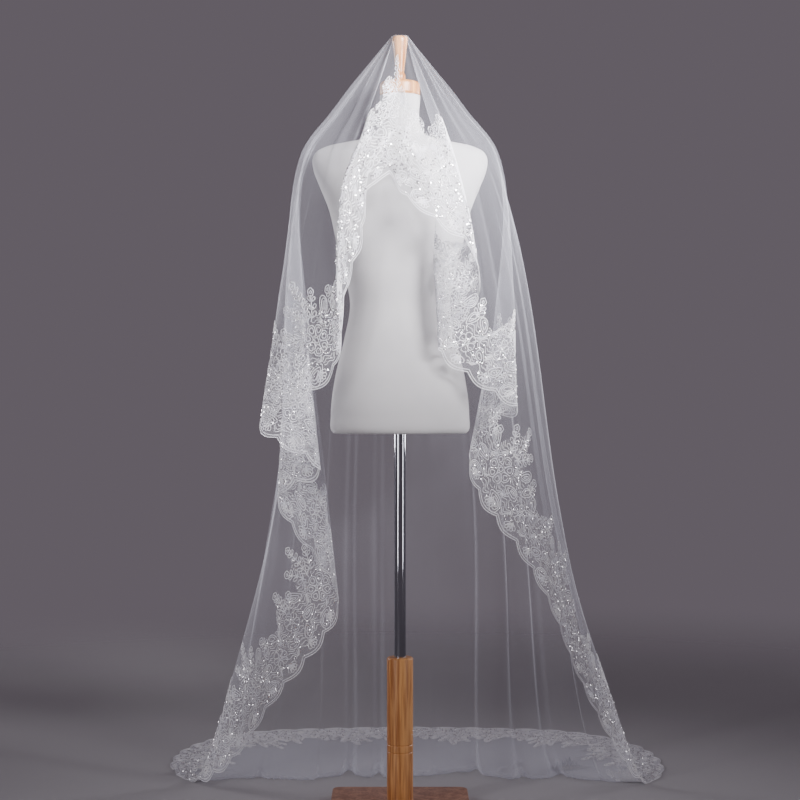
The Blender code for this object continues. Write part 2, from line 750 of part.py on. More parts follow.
def build_veil():
    """The tulle and the lace edging, stretch by stretch."""
    tulle = principled("tulle", (0.80, 0.81, 0.86), 0.60)
    lace = principled("lace", (0.92, 0.92, 0.94), 0.70)
    net = build_net(Cloth())
    normals = net.vertex_normals()
    for name in net.faces:
        if name.startswith("lace"):
            wall(name, net, normals, LACE_WALL, (LACE_WALL - TULLE_WALL) / 2, lace)
        else:
            wall(name, net, normals, TULLE_WALL, 0.0, tulle)


for thing in list(bpy.data.objects):
    bpy.data.objects.remove(thing, do_unlink=True)
build_form()
build_veil()
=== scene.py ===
# %% [markdown]
# A bridal veil on a dress form
#
# The veil is one wide sheet of sheer tulle. It is laid over the finial of a limbless dress form and
# hangs from it like a tent. Its edge carries a band of corded lace with sequins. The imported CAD
# model gives every size and place, so the first step loads it and keeps its box.

import bmesh
import bpy
import numpy as np
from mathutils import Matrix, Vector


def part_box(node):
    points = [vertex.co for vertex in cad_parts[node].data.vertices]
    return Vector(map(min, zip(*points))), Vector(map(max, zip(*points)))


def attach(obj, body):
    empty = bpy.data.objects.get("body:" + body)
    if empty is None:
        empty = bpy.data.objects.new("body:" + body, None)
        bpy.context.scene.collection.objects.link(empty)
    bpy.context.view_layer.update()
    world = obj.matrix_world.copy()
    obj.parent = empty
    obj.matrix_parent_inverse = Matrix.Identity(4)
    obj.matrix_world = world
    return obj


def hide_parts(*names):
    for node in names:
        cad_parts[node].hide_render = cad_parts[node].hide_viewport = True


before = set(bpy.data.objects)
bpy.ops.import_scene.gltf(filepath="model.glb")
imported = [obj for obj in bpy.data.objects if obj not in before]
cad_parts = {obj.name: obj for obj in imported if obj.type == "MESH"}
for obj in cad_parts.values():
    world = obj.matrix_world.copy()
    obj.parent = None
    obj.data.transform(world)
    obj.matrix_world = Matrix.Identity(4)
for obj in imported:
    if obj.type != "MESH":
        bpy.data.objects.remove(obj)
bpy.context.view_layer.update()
print("CAD nodes:", len(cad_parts))

# %% [markdown]
# Shader maths
#
# A material is a tree of nodes. Wiring each sum by hand is slow to write and hard to read, so one
# small class wraps an output socket: Python's own signs then add the Math nodes. Every other node
# comes from its one method, which sets the node's options first and then fills its sockets.

# %% A socket that can be used in sums
OBJECT_PLACE = 3


def sign(operation, swapped=False):
    """What one of Python's signs does with a Field: a Math node of its two sides."""

    def combined(self, other):
        return self.math(operation, *((other, self) if swapped else (self, other)))

    return combined


class Field:
    """One output socket of a material's nodes; sums written with it become Math nodes."""

    __add__, __radd__ = sign("ADD"), sign("ADD", True)
    __sub__, __rsub__ = sign("SUBTRACT"), sign("SUBTRACT", True)
    __mul__, __rmul__ = sign("MULTIPLY"), sign("MULTIPLY", True)
    __truediv__, __pow__ = sign("DIVIDE"), sign("POWER")

    def __init__(self, tree, socket=None):
        self.tree = tree
        self.socket = socket

    def node(self, kind, settings=None, sockets=None, output=0):
        """Add a node: its settings first, then a value or a link for each socket."""
        made = self.tree.nodes.new(kind)
        for name, value in (settings or {}).items():
            setattr(made, name, value)
        for name, value in (sockets or {}).items():
            if isinstance(value, Field):
                self.tree.links.new(value.socket, made.inputs[name])
            else:
                made.inputs[name].default_value = value
        return Field(self.tree, made.outputs[output] if made.outputs else None)

    def math(self, operation, *values):
        """A Math node of the given operation on these values."""
        return self.node("ShaderNodeMath", {"operation": operation}, dict(enumerate(values)))

    def part(self, axis):
        """One coordinate, 0 to 2, of a vector."""
        return self.node("ShaderNodeSeparateXYZ", None, {0: self}, axis)

    def mixed(self, low, high):
        """A colour between two, by this value."""
        sockets = {"Factor": self, 6: (*low, 1.0), 7: (*high, 1.0)}
        return self.node("ShaderNodeMix", {"data_type": "RGBA"}, sockets, 2)

    def step(self, low, high):
        """0 below low, 1 above high, and a soft change between them."""
        sockets = {"Value": self, "From Min": low, "From Max": high}
        return self.node("ShaderNodeMapRange", {"interpolation_type": "SMOOTHSTEP"}, sockets)

    def noise(self, scale, **sockets):
        """Cloudy noise at this place, with patches about 1 / scale metres wide."""
        return self.node("ShaderNodeTexNoise", None, {"Vector": self, "Scale": scale, **sockets})

    def drawn_out(self, share):
        """This place with its height times share, which draws a texture out along z."""
        return self.node("ShaderNodeMapping", None, {"Vector": self, "Scale": (1.0, 1.0, share)})

    def bump(self, distance, strength):
        """The normal of a surface that this value, 0 to 1, lifts by up to a distance in metres."""
        sockets = {"Strength": strength, "Distance": distance, "Height": self}
        return self.node("ShaderNodeBump", None, sockets)


def new_material(name):
    """A material with an empty tree, and the Field of an object's own places to start it from."""
    material = bpy.data.materials.new(name)
    material.use_nodes = True
    material.node_tree.nodes.clear()
    start = Field(material.node_tree)
    return material, start.node("ShaderNodeTexCoord", None, None, OBJECT_PLACE)


def finish_material(field, sockets):
    """Link a Principled shader with these sockets to the output."""
    shader = field.node("ShaderNodeBsdfPrincipled", None, sockets)
    field.node("ShaderNodeOutputMaterial", None, {"Surface": shader})


# %% [markdown]
# Pieces from arrays
#
# Every piece here is a surface that numpy works out as whole arrays: a grid of points from two
# parameters, or a profile that is turned or carried along a path. One function puts such arrays
# into a mesh, and another lists the faces of a grid.

# %% From arrays to a mesh
MERGE_DISTANCE = 2e-6


def grid_faces(rows, columns, close=False):
    """Quads of a grid whose point (r, c) is number r * columns + c; close joins the last column on."""
    r = np.arange(rows - 1)[:, None]
    c = np.arange(columns if close else columns - 1)[None, :]
    right = (c + 1) % columns
    low, high = r * columns, (r + 1) * columns
    corners = [low + c, low + right, high + right, high + c]
    return np.stack(np.broadcast_arrays(*corners), axis=-1).reshape(-1, 4)


def around(count):
    """Angles of count places evenly round a circle."""
    return np.linspace(0, 2 * np.pi, count, endpoint=False)


def ramp(value, start, end):
    """0 at start and 1 at end, straight between them and level outside; start may be the higher."""
    return np.clip((value - start) / (end - start), 0, 1)


def unit(vectors):
    """Vectors of length 1 that point the same ways."""
    return vectors / np.linalg.norm(vectors, axis=-1, keepdims=True)


def put(name, data):
    """An object of this data, in the scene."""
    thing = bpy.data.objects.new(name, data)
    bpy.context.scene.collection.objects.link(thing)
    return thing


def make_piece(name, points, faces, material, replaced=(), uv=None):
    """One smooth-shaded object from points, equal-sided faces and a UV pair for each point.

    Points that lie on each other are merged, so seams, poles and loops are closed.
    """
    mesh = bpy.data.meshes.new(name)
    count, sides = faces.shape
    mesh.vertices.add(len(points))
    mesh.vertices.foreach_set("co", np.asarray(points, np.float32).ravel())
    mesh.loops.add(count * sides)
    mesh.loops.foreach_set("vertex_index", faces.astype(np.int32).ravel())
    mesh.polygons.add(count)
    mesh.polygons.foreach_set("loop_start", (np.arange(count) * sides).astype(np.int32))
    mesh.update(calc_edges=True)
    if uv is not None:
        layer = mesh.uv_layers.new(name="cloth")
        layer.data.foreach_set("uv", np.asarray(uv, np.float32)[faces.ravel()].ravel())
    work = bmesh.new()
    work.from_mesh(mesh)
    bmesh.ops.remove_doubles(work, verts=work.verts, dist=MERGE_DISTANCE)
    work.to_mesh(mesh)
    work.free()
    mesh.shade_smooth()
    mesh.materials.append(material)
    piece = put(name, mesh)
    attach(piece, "root")
    if replaced:
        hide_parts(*replaced)
    triangles = sum(len(polygon.vertices) - 2 for polygon in mesh.polygons)
    print(f"{name}: {len(mesh.vertices)} points, {triangles} triangles")
    return piece


# %% [markdown]
# The cloth's shape
#
# A draped veil could be simulated, but this one hangs in a known way: the photograph shows where
# each fold of its edge turns. So the cloth is a fan of smooth lines. Each starts at a place on the
# hem, passes the points below, and ends on the finial. The tables are the CAD model's own.

# %% Tables of the drape
TULLE_WALL = 0.0010
REPEAT_SIZE = 0.30
SCALLOPS_PER_REPEAT = 4
SCALLOP_DEPTH = 0.012
LACE_WIDTH = 0.125
SPRIG_HEIGHT = 0.095
CROWN_RADIUS = 0.018
FINIAL_TOP = 1.660
FLOOR_LEVEL = TULLE_WALL / 2
CROWN_LEVEL = FINIAL_TOP + 0.0005 + TULLE_WALL / 2
TAUT_SHARE = 0.35
FOLD_ROUNDING = 0.028
LEAN_SPREAD = 0.20
LEAN_LIMIT = 0.75
LEAN_ROW = 16
FAN_START = 0.235
HEM_SAMPLES = 8001
FINE_COLUMNS = 1600
FINE_ROWS = 321
LINE_SAMPLES = 40

# Share of the way from fall to hem where a line's lower point lies: the least share, what is added
# at the floor, and the height in metres over which that fades
LOWER_SHARE, LOWER_GAIN, LOWER_FADE = 0.5, 0.43, 0.08

# Shares of the way up between which folds grow to full height, and those where they fade again
HANGING_GROW, HANGING_FADE = (0, 0.22), (0.92, 0.47)
CROWN_GROW, CROWN_FADE = (0.35, 0.65), (1, 0.85)

# Places along the hem, from the front centre round the left side and the train: x, y, z in mm
RIM = (
    # front edge, left half, with the narrow turned strip
    (-15, -175, 1345), (-70, -180, 1305), (-70, -165, 1220), (-115, -140, 1090), (-135, -145, 930),
    (-255, -110, 850),
    # left corner, then the left side in three turns
    (-305, -70, 820), (-230, -20, 770), (-155, 10, 720), (-255, 55, 685), (-270, 85, 645),
    (-190, 108, 530), (-130, 132, 430), (-170, 150, 340), (-285, 172, 200), (-380, 208, 60),
    # train on the floor
    (-460, 300, 0), (-556, 454, 0), (-530, 680, 0), (-400, 840, 0), (-200, 890, 0), (20, 905, 0),
    (240, 895, 0), (450, 850, 0), (600, 690, 0), (637, 450, 0), (555, 285, 0),
    # right side, rising to the right corner
    (480, 208, 105), (400, 180, 260), (335, 145, 420), (255, 115, 555), (175, 85, 655),
    (145, 50, 760), (190, 0, 830), (260, -50, 850),
    # front edge, right half, turning left and right on its way up
    (200, -90, 885), (105, -120, 950), (65, -134, 985), (120, -157, 1030), (165, -175, 1100),
    (142, -197, 1195), (90, -204, 1220), (45, -205, 1265), (0, -195, 1290),
)

# Where each line passes the shoulder: hem row, x, y, z in mm, and the turn it leaves the finial at
SHOULDER = (
    (0, -10, -110, 1490, 0), (1, -55, -118, 1475, 25), (2, -80, -128, 1430, 38),
    (3, -102, -140, 1395, 46), (4, -125, -127, 1385, 54), (5, -168, -88, 1390, 65),
    (6, -197, -50, 1402, 80), (8, -201, -10, 1408, 92), (10, -203, 12, 1410, 98),
    (12, -198, 35, 1412, 106), (14, -198, 55, 1412, 112), (16, -193, 72, 1412, 120),
    (18, -155, 90, 1425, 135), (20, -70, 100, 1440, 160), (21, 5, 102, 1445, 180),
    (22, 80, 100, 1440, 200), (24, 160, 90, 1425, 225), (26, 193, 75, 1412, 240),
    (28, 199, 55, 1412, 247), (30, 202, 30, 1412, 254), (32, 203, 0, 1410, 262),
    (34, 197, -50, 1402, 280), (36, 125, -95, 1390, 300), (37, 78, -112, 1395, 308),
    (38, 80, -128, 1410, 315), (39, 98, -148, 1420, 322), (40, 86, -152, 1450, 330),
    (42, 35, -125, 1480, 345), (43, 8, -116, 1488, 354),
)

# Where it passes half way down: hem row, x, y, z in mm
FALL = (
    (0, -12, -155, 1400), (1, -75, -165, 1365), (2, -115, -190, 1300), (3, -125, -187, 1190),
    (4, -140, -170, 1105), (5, -215, -110, 1120), (6, -256, -60, 1135), (8, -205, -5, 1120),
    (10, -250, 38, 1080), (12, -190, 80, 980), (14, -255, 108, 795), (16, -285, 188, 620),
    (18, -270, 240, 640), (20, -130, 245, 650), (21, 10, 250, 650), (22, 150, 248, 650),
    (24, 325, 242, 600), (26, 372, 195, 520), (28, 345, 122, 685), (30, 275, 85, 860),
    (32, 200, 20, 1050), (34, 245, -50, 1095), (36, 120, -108, 1130), (37, 52, -133, 1170),
    (38, 100, -160, 1200), (39, 146, -178, 1230), (40, 124, -190, 1290), (42, 40, -183, 1345),
    (43, 0, -170, 1385),
)

# Where the train meets the floor: hem row, x, y in mm
CONTACT = (
    (17, -465, 330), (18, -400, 340), (19, -270, 352), (20, -140, 358), (21, 10, 360),
    (22, 160, 358), (23, 300, 352), (24, 430, 340), (25, 540, 315),
)

# Soft folds of the back: hem row, height and half width along the hem in mm
BACK_FOLDS = (
    (18.2, 12, 60), (19.3, -10, 55), (20.1, 13, 60), (21.0, -8, 50), (21.9, 12, 55),
    (22.8, -12, 60), (23.6, 14, 60), (24.5, -10, 55),
)

# Fine folds that fan out from the finial: hem row, height and half width in mm
CROWN_FOLDS = (
    (1.4, 6, 30), (2.6, -7, 34), (4.3, 7, 30), (6.8, 8, 40), (9.5, -6, 50), (12.5, 8, 45),
    (31.5, 8, 45), (34.2, -6, 50), (35.7, 7, 40), (38.2, -6, 32), (40.2, 8, 32), (42.3, 6, 30),
)

# Narrow folds of the back, as the cloth falls to the floor: hem row, height and half width in mm
BACK_CREASES = (
    (17.5, 10, 16), (18.6, 12, 18), (19.5, -9, 16), (20.15, 18, 18), (20.6, 20, 17),
    (21.4, -10, 18), (22.1, 19, 20), (22.9, 18, 18), (23.5, 19, 21), (24.3, 10, 15), (25.2, 12, 16),
)

# The train spills forward by this much where it meets the floor, least behind the pole
SPILL = 0.050
SPILL_GAP, SPILL_GAP_SHARE = 0.130, 0.8
SPILL_REACH = 0.110
CONTACT_LINE = 0.340

# Rucks of the train on the floor: x, y, half length, half width, height in mm, turn in degrees
RUCKS = (
    (-440, 400, 110, 18, 27, 20), (-360, 470, 130, 20, 24, -12), (-240, 410, 120, 16, 22, 8),
    (-160, 520, 160, 22, 22, -6), (-40, 440, 70, 16, 24, 74), (60, 410, 140, 16, 20, -4),
    (160, 530, 180, 22, 24, 9), (260, 420, 70, 17, 41, 62), (320, 450, 120, 18, 27, -20),
    (430, 430, 100, 16, 29, 14), (500, 520, 110, 20, 24, -24), (20, 630, 220, 26, 20, 3),
    (-320, 620, 140, 22, 20, 16), (380, 640, 160, 24, 20, -10),
)
# A ruck snakes by this share of its width, and fades out over this height above the floor
RUCK_SWAY, RUCK_FADE = 0.25, 0.05

# %% [markdown]
# Reading the cloth
#
# The lines are sampled once on a fine grid. Distance along the hem and distance up from it then
# work like the threads of the cloth: every later piece, lace and sequins too, is laid out flat on
# those two distances and carried onto the drape, so it follows each fold.

# %% The surface that all cloth pieces read
def cubic(t, start, end, leaving, arriving, width):
    """Smooth run from start to end as t goes from 0 to 1, with its slope at each over a width."""
    ends = (2 * t**3 - 3 * t**2 + 1) * start + (3 * t**2 - 2 * t**3) * end
    pulls = (t**3 - 2 * t**2 + t) * leaving + (t**3 - t**2) * arriving
    return ends + width * pulls


def read_curve(knots, points, slopes, where):
    """Read the chain of cubics through points at knots, with a slope at each."""
    left = np.clip(np.searchsorted(knots, where, side="right") - 1, 0, len(knots) - 2)
    width = (knots[left + 1] - knots[left])[:, None]
    t = (where - knots[left])[:, None] / width
    return cubic(t, points[left], points[left + 1], slopes[left], slopes[left + 1], width)


def closed_curve(stations, values, period, where):
    """Smooth closed curve through values at stations; each slope is its neighbours' chord."""
    stations = np.asarray(stations, float)
    knots = np.concatenate([stations[-2:] - period, stations, stations[:2] + period])
    points = np.concatenate([values[-2:], values, values[:2]])
    slopes = (points[2:] - points[:-2]) / (knots[2:] - knots[:-2])[:, None]
    where = np.mod(where - stations[0], period) + stations[0]
    return read_curve(knots[1:-1], points[1:-1], slopes, where)


def line_points(rows):
    """The six points of each line: hem, lower, fall, shoulder, taut point and finial."""
    period = len(RIM)
    ends = np.array(RIM) / 1000
    hem = closed_curve(range(period), ends, period, rows)
    fall_rows, *falls = np.array(FALL, float).T
    falls = np.stack(falls, axis=1) / 1000
    fall = closed_curve(fall_rows, falls, period, rows)
    pass_rows, *passes, turns = np.array(SHOULDER, float).T
    shoulder = closed_curve(pass_rows, np.stack(passes, axis=1) / 1000, period, rows)
    down = LOWER_SHARE + LOWER_GAIN * np.exp(-ends[:, 2:] / LOWER_FADE)
    from_fall = closed_curve(fall_rows, falls, period, np.arange(period, dtype=float))
    lower = from_fall + down * (ends - from_fall)
    for row, x, y in CONTACT:
        lower[row] = (x / 1000, y / 1000, 0.0)
    lower = closed_curve(range(period), lower, period, rows)
    turn = np.radians(np.interp(rows, [*pass_rows, period], [*turns, 360]))
    level = np.full(len(rows), CROWN_LEVEL)
    crown = np.stack([-CROWN_RADIUS * np.sin(turn), -CROWN_RADIUS * np.cos(turn), level], axis=1)
    taut = shoulder + TAUT_SHARE * (crown - shoulder)
    return np.stack([hem, lower, fall, shoulder, taut, crown], axis=1)


def smooth_lines(controls):
    """Carry a cubic through each line's points; its slope is the mean of the two chords there."""
    steps = np.diff(controls, axis=1)
    lengths = np.linalg.norm(steps, axis=2, keepdims=True)
    chords = steps / lengths
    inner = (chords[:, :-1] + chords[:, 1:]) / 2
    slopes = np.concatenate([chords[:, :1], inner, chords[:, -1:]], axis=1)
    t = np.linspace(0, 1, LINE_SAMPLES, endpoint=False)[None, None, :, None]
    ends = controls[:, :-1, None], controls[:, 1:, None]
    pulls = slopes[:, :-1, None], slopes[:, 1:, None]
    runs = cubic(t, *ends, *pulls, lengths[:, :, None])
    return np.concatenate([runs.reshape(len(controls), -1, 3), controls[:, -1:]], axis=1)


class Cloth:
    """The veil's middle surface, read by distance along the hem and share of the way up."""

    def __init__(self):
        dense = np.linspace(0, len(RIM), HEM_SAMPLES)
        hem = line_points(dense)[:, 0]
        steps = np.linalg.norm(np.diff(hem, axis=0), axis=1)
        run = np.concatenate([[0], np.cumsum(steps)])
        self.hem_length = run[-1]
        self.row_of = lambda s: np.interp(np.mod(s, self.hem_length), run, dense)
        self.place_of = lambda row: np.interp(row, dense, run)
        self.step = self.hem_length / FINE_COLUMNS
        places = np.arange(FINE_COLUMNS) * self.step
        curves = smooth_lines(line_points(self.row_of(places)))
        lengths = np.linalg.norm(np.diff(curves, axis=1), axis=2)
        runs = np.concatenate([np.zeros((FINE_COLUMNS, 1)), np.cumsum(lengths, axis=1)], axis=1)
        self.length = runs[:, -1]
        share = np.linspace(0, 1, FINE_ROWS)
        shift = 2.0 * np.arange(FINE_COLUMNS)[:, None]
        known = (runs / self.length[:, None] + shift).ravel()
        asked = (share[None, :] + shift).ravel()
        read = [np.interp(asked, known, curves[:, :, axis].ravel()) for axis in range(3)]
        points = np.stack(read, axis=1).reshape(FINE_COLUMNS, FINE_ROWS, 3)
        self.points = self.evened(points, FOLD_ROUNDING)
        self.lean = self.hem_lean()
        hanging = ramp(share, *HANGING_GROW) ** 2 * ramp(share, *HANGING_FADE)
        self.add_folds(places, BACK_FOLDS, hanging)
        self.add_folds(places, BACK_CREASES, hanging)
        self.add_folds(places, CROWN_FOLDS, ramp(share, *CROWN_GROW) * ramp(share, *CROWN_FADE))
        self.add_rucks()
        self.points[:, :, 2] = np.maximum(self.points[:, :, 2], FLOOR_LEVEL)

    def evened(self, table, spread):
        """Weighted mean along the hem, with a bell of the given half width."""
        reach = int(np.ceil(3 * spread / self.step))
        offsets = np.arange(-reach, reach + 1)
        weights = np.exp(-0.5 * (offsets * self.step / spread) ** 2)
        weights /= weights.sum()
        return sum(w * np.roll(table, int(k), axis=0) for w, k in zip(weights, offsets))

    def normals(self):
        """Unit normals out of the veil: the cross product of the grid's two directions."""
        along = np.roll(self.points, -1, axis=0) - np.roll(self.points, 1, axis=0)
        return unit(np.cross(np.gradient(self.points, axis=1), along))

    def add_folds(self, places, table, fade):
        """Move the cloth out by height exp(-((s - middle) / width)^2) for each fold, times its fade."""
        rows, heights, widths = np.array(table).T
        off = (places[:, None] - self.place_of(rows)) / (widths / 1000)
        bells = np.exp(-(off**2)) @ (heights / 1000)
        self.points += self.normals() * (bells[:, None] * fade[None, :])[:, :, None]

    def add_rucks(self):
        """Let the train spill forward, then lift it in bells drawn out along short lines."""
        x, y, z = np.moveaxis(self.points, 2, 0)
        beside = 1 - SPILL_GAP_SHARE * np.exp(-(((x - SPILL_GAP) / SPILL_REACH) ** 2))
        low = np.exp(-((z / SPILL_REACH) ** 2) - ((y - CONTACT_LINE) / SPILL_REACH) ** 2)
        self.points[:, :, 1] -= SPILL * beside * low
        lift = np.zeros_like(z)
        for *sizes, turn in RUCKS:
            middle_x, middle_y, length, width, height = np.array(sizes) / 1000
            angle = np.radians(turn)
            along = (x - middle_x) * np.cos(angle) + (y - middle_y) * np.sin(angle)
            across = (y - middle_y) * np.cos(angle) - (x - middle_x) * np.sin(angle)
            across = across + RUCK_SWAY * width * np.sin(4 * along / length)
            lift += height * np.exp(-((along / length) ** 4) - (across / width) ** 2)
        self.points[:, :, 2] += lift * np.exp(-np.maximum(z, 0) / RUCK_FADE)

    def hem_lean(self):
        """Cosine of the angle between the hem and the lines, evened out along the hem."""
        hem = self.points[:, 0]
        along = unit(np.roll(hem, -2, axis=0) - np.roll(hem, 2, axis=0))
        inner = unit(self.points[:, LEAN_ROW] - hem)
        lean = np.clip((along * inner).sum(axis=1), -LEAN_LIMIT, LEAN_LIMIT)
        return self.evened(lean, LEAN_SPREAD)

    def columns(self, place):
        """The fine columns before and after a place, and its share of the way between them."""
        x = np.mod(place / self.step, FINE_COLUMNS)
        low = np.floor(x).astype(int) % FINE_COLUMNS
        return low, (low + 1) % FINE_COLUMNS, x - np.floor(x)

    def column_value(self, table, place):
        """Read a value that is kept for each column of the fine grid."""
        low, high, share = self.columns(place)
        return table[low] * (1 - share) + table[high] * share

    def at(self, table, place, share):
        """Read a table of the fine grid between its points, straight along both ways."""
        low, high, fx = self.columns(place)
        fx = fx[..., None]
        y = np.clip(share, 0, 1) * (FINE_ROWS - 1)
        base = np.minimum(y.astype(int), FINE_ROWS - 2)
        fy = (y - base)[..., None]
        near = table[low, base] * (1 - fy) + table[low, base + 1] * fy
        far = table[high, base] * (1 - fy) + table[high, base + 1] * fy
        return near * (1 - fx) + far * fx

    def band(self, place, depth):
        """Line and share of the point that lies a depth square in from a place on the hem."""
        lean = self.column_value(self.lean, place)
        rise = np.sqrt(1 - lean**2)
        line = place - depth * lean / rise
        return line, depth / rise / self.column_value(self.length, line)


cloth = Cloth()
REPEATS = round(cloth.hem_length / REPEAT_SIZE)
REPEAT = cloth.hem_length / REPEATS
print(f"hem {cloth.hem_length:.2f} m, {REPEATS} repeats of {REPEAT * 1000:.0f} mm")
print(f"lines from {cloth.length.min():.2f} to {cloth.length.max():.2f} m")

# %% [markdown]
# The tulle
#
# Tulle is a net so fine that the eye sees only a veil of light. Its two sides look the same, and
# where a fold turns edge-on the threads close up, so the fold shows as a bright line. It is one
# open sheet: a grid whose rows run from the scalloped hem up to the finial. Its UV map holds the
# two distances in metres, along the hem and up from it, for the net and the lace ground.


# %% The sheet
# The inner edge's sprig, bud and leaf: place and half width in repeats, height, power
SPRIGS = (
    (0.50, 0.20, 1.00, 1.2),
    (0.86, 0.13, 0.62, 1.0),
    (0.18, 0.11, 0.36, 1.0),
)

# The front centre's rise: its height, and where it fades out to the left and to the right
FRONT_HEIGHT = 0.075
FRONT_LEFT = (0.030, 0.120)
FRONT_RIGHT = (0.190, 0.270)
# The sheet's grid, and the power that draws its rows together above the band
SHEET_COLUMNS, BAND_ROWS, RISE_ROWS, CROWN_ROWS = 1100, 18, 66, 4
RISE_POWER = 1.5


def scallop(place):
    """Depth of the notches between the scallops: 0 at each tip, most where two scallops meet."""
    return SCALLOP_DEPTH * (1 - np.abs(np.sin(np.pi * place / REPEAT * SCALLOPS_PER_REPEAT)))


def sprig(place):
    """Depth of the lace's inner edge: a tall sprig, a bud and a leaf for each repeat."""

    def aside(middle):
        return np.abs(np.mod(place / REPEAT - middle + 0.5, 1.0) - 0.5)

    tall, bud, leaf = (
        height * np.clip(1 - aside(middle) / half_width, 0, 1) ** power
        for middle, half_width, height, power in SPRIGS
    )
    return LACE_WIDTH + SPRIG_HEIGHT * np.maximum(np.maximum(tall, bud), leaf)


def front_top(place):
    """Depth of the inner edge with the front centre's rise, which fades as 3 t^2 - 2 t^3."""
    share = np.minimum(ramp(place, *FRONT_LEFT[::-1]), ramp(-place, *FRONT_RIGHT[::-1]))
    return sprig(place) + FRONT_HEIGHT * share * share * (3 - 2 * share)


def build_sheet(material):
    """Points of the sheet: straight in from the hem over the band, then up each line."""
    places = np.arange(SHEET_COLUMNS) / SHEET_COLUMNS * cloth.hem_length
    t = np.linspace(0, 1, BAND_ROWS)[:, None]
    depth = scallop(places)[None, :] * (1 - t) + FAN_START * t
    across = np.broadcast_to(places, depth.shape)
    line, share = cloth.band(across, depth)
    top_line, top_share = line[-1], share[-1]
    rise = np.linspace(0, 1, RISE_ROWS + 1)[1:, None] ** RISE_POWER
    up_share = top_share + rise * (1 - top_share)
    line = np.concatenate([line, np.broadcast_to(top_line, up_share.shape)])
    points = cloth.at(cloth.points, line, np.concatenate([share, up_share]))
    length = cloth.column_value(cloth.length, top_line)
    depth = np.concatenate([depth, FAN_START + rise * (1 - top_share) * length])
    inward = np.linspace(1, 0, CROWN_ROWS + 1)[1:, None]
    crown = np.array([0.0, 0.0, CROWN_LEVEL])
    points = np.concatenate([points, crown + inward[..., None] * (points[-1:] - crown)])
    depth = np.concatenate([depth, depth[-1:] + (1 - inward) * CROWN_RADIUS])
    points, depth = (np.concatenate([grid, grid[:, :1]], axis=1) for grid in (points, depth))
    places = np.broadcast_to(np.append(places, cloth.hem_length), depth.shape)
    uv = np.stack([places, depth], axis=-1).reshape(-1, 2)
    faces = grid_faces(*depth.shape)[:, ::-1]
    nodes = [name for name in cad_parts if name.startswith("tulle")]
    return make_piece("tulle_sheet", points.reshape(-1, 3), faces, material, nodes, uv)


# %% [markdown]
# The look of tulle and of the lace ground
#
# A net lets a share of the light straight through. Seen at a slant its threads cover more: a net
# that hides a share a when faced hides 1 - (1 - a) ** (1 / c) at a slant of cosine c. The Layer
# Weight node's Facing value is 1 - c, as glass and sheen use it. The lace stands on a closer net,
# from the hem up to the sprigged edge, drawn here with the same two functions as the cut.


# %% Tulle material
# Share that the net hides: plain, more on a thread, on the lace ground, and on the ground's spots
NET_COVER, THREAD_COVER, GROUND_COVER, SPOT_COVER = 0.055, 0.035, 0.03, 0.10
EDGE_INSET, EDGE_SOFT, EDGE_ROUGH = 0.012, 0.004, 0.016
LEAST_SLANT = 0.18
# How gathered the net looks: heights between which the crown loses a share of it and the train
# lying on the floor gains one, and the clear stretch of the front, by distance from the hem's end
CROWN_HEIGHTS, CROWN_LOSS = (1.38, 1.55), 0.25
TRAIN_HEIGHTS, TRAIN_GAIN = (0.005, 0.110), 1.1
CLEAR_START, CLEAR_END, CLEAR_LOSS = (0.095, 0.125), (0.002, 0.014), 0.5


def tulle_material():
    """Sheer white net, closer on the lace band, denser where it is seen at a slant."""
    material, place = new_material("tulle_net")
    where = place.node("ShaderNodeUVMap", {"uv_map": "cloth"})
    along, depth, height = where.part(0), where.part(1), place.part(2)

    def before_end(near, far):
        """0 until the far distance from the hem's end, and 1 from the near one on."""
        return along.step(cloth.hem_length - far, cloth.hem_length - near)

    edge = 0.0
    for middle, half_width, tallness, power in SPRIGS:
        turned = along / REPEAT - middle + 0.5
        aside = along.math("ABSOLUTE", along.math("FRACT", turned) - 0.5)
        rise = along.math("MAXIMUM", 1 - aside / half_width, 0.0) ** power * tallness
        edge = along.math("MAXIMUM", rise, edge)
    front = 1 - along.step(*FRONT_LEFT) + before_end(*FRONT_RIGHT)
    inner = LACE_WIDTH - EDGE_INSET + SPRIG_HEIGHT * edge + FRONT_HEIGHT * front
    rough_depth = depth + EDGE_ROUGH * (where.noise(260.0) - 0.5)
    ground = 1 - rough_depth.step(inner - EDGE_SOFT, inner + EDGE_SOFT)
    cells = where.node(
        "ShaderNodeTexVoronoi", {"feature": "DISTANCE_TO_EDGE"}, {"Vector": where, "Scale": 620.0}
    )
    threads = 1 - cells.step(0.03, 0.16)
    spots = where.noise(420.0, Detail=3.0).step(0.42, 0.60)
    cover = NET_COVER + THREAD_COVER * threads + ground * (GROUND_COVER + SPOT_COVER * spots)
    facing = place.node("ShaderNodeLayerWeight", None, {"Blend": 0.5}, 1)
    slant = place.math("MAXIMUM", 1 - facing, LEAST_SLANT)
    clear = before_end(*CLEAR_START) * (1 - before_end(*CLEAR_END))
    gather = (1 - CROWN_LOSS * height.step(*CROWN_HEIGHTS)) * (1 - CLEAR_LOSS * clear)
    gather = gather * (1 + TRAIN_GAIN - TRAIN_GAIN * height.step(*TRAIN_HEIGHTS))
    alpha = 1 - (1 - cover) ** (gather / slant)
    tint = ground.mixed((0.80, 0.82, 0.90), (0.88, 0.88, 0.93))
    finish_material(
        place, {"Base Color": tint, "Roughness": 0.55, "Alpha": alpha, "Specular IOR Level": 0.35}
    )
    return material


sheet = build_sheet(tulle_material())

# %% [markdown]
# The lace pattern, laid out flat
#
# Corded lace is drawn with thread: a net is covered with loops, petals and scrolls, each outlined
# again and again. One repeat is drawn here on the flat, with distance along the hem as x and
# distance in from it as y. A stroke is a row of points, and strokes with the same number of points
# are worked out together as one array.

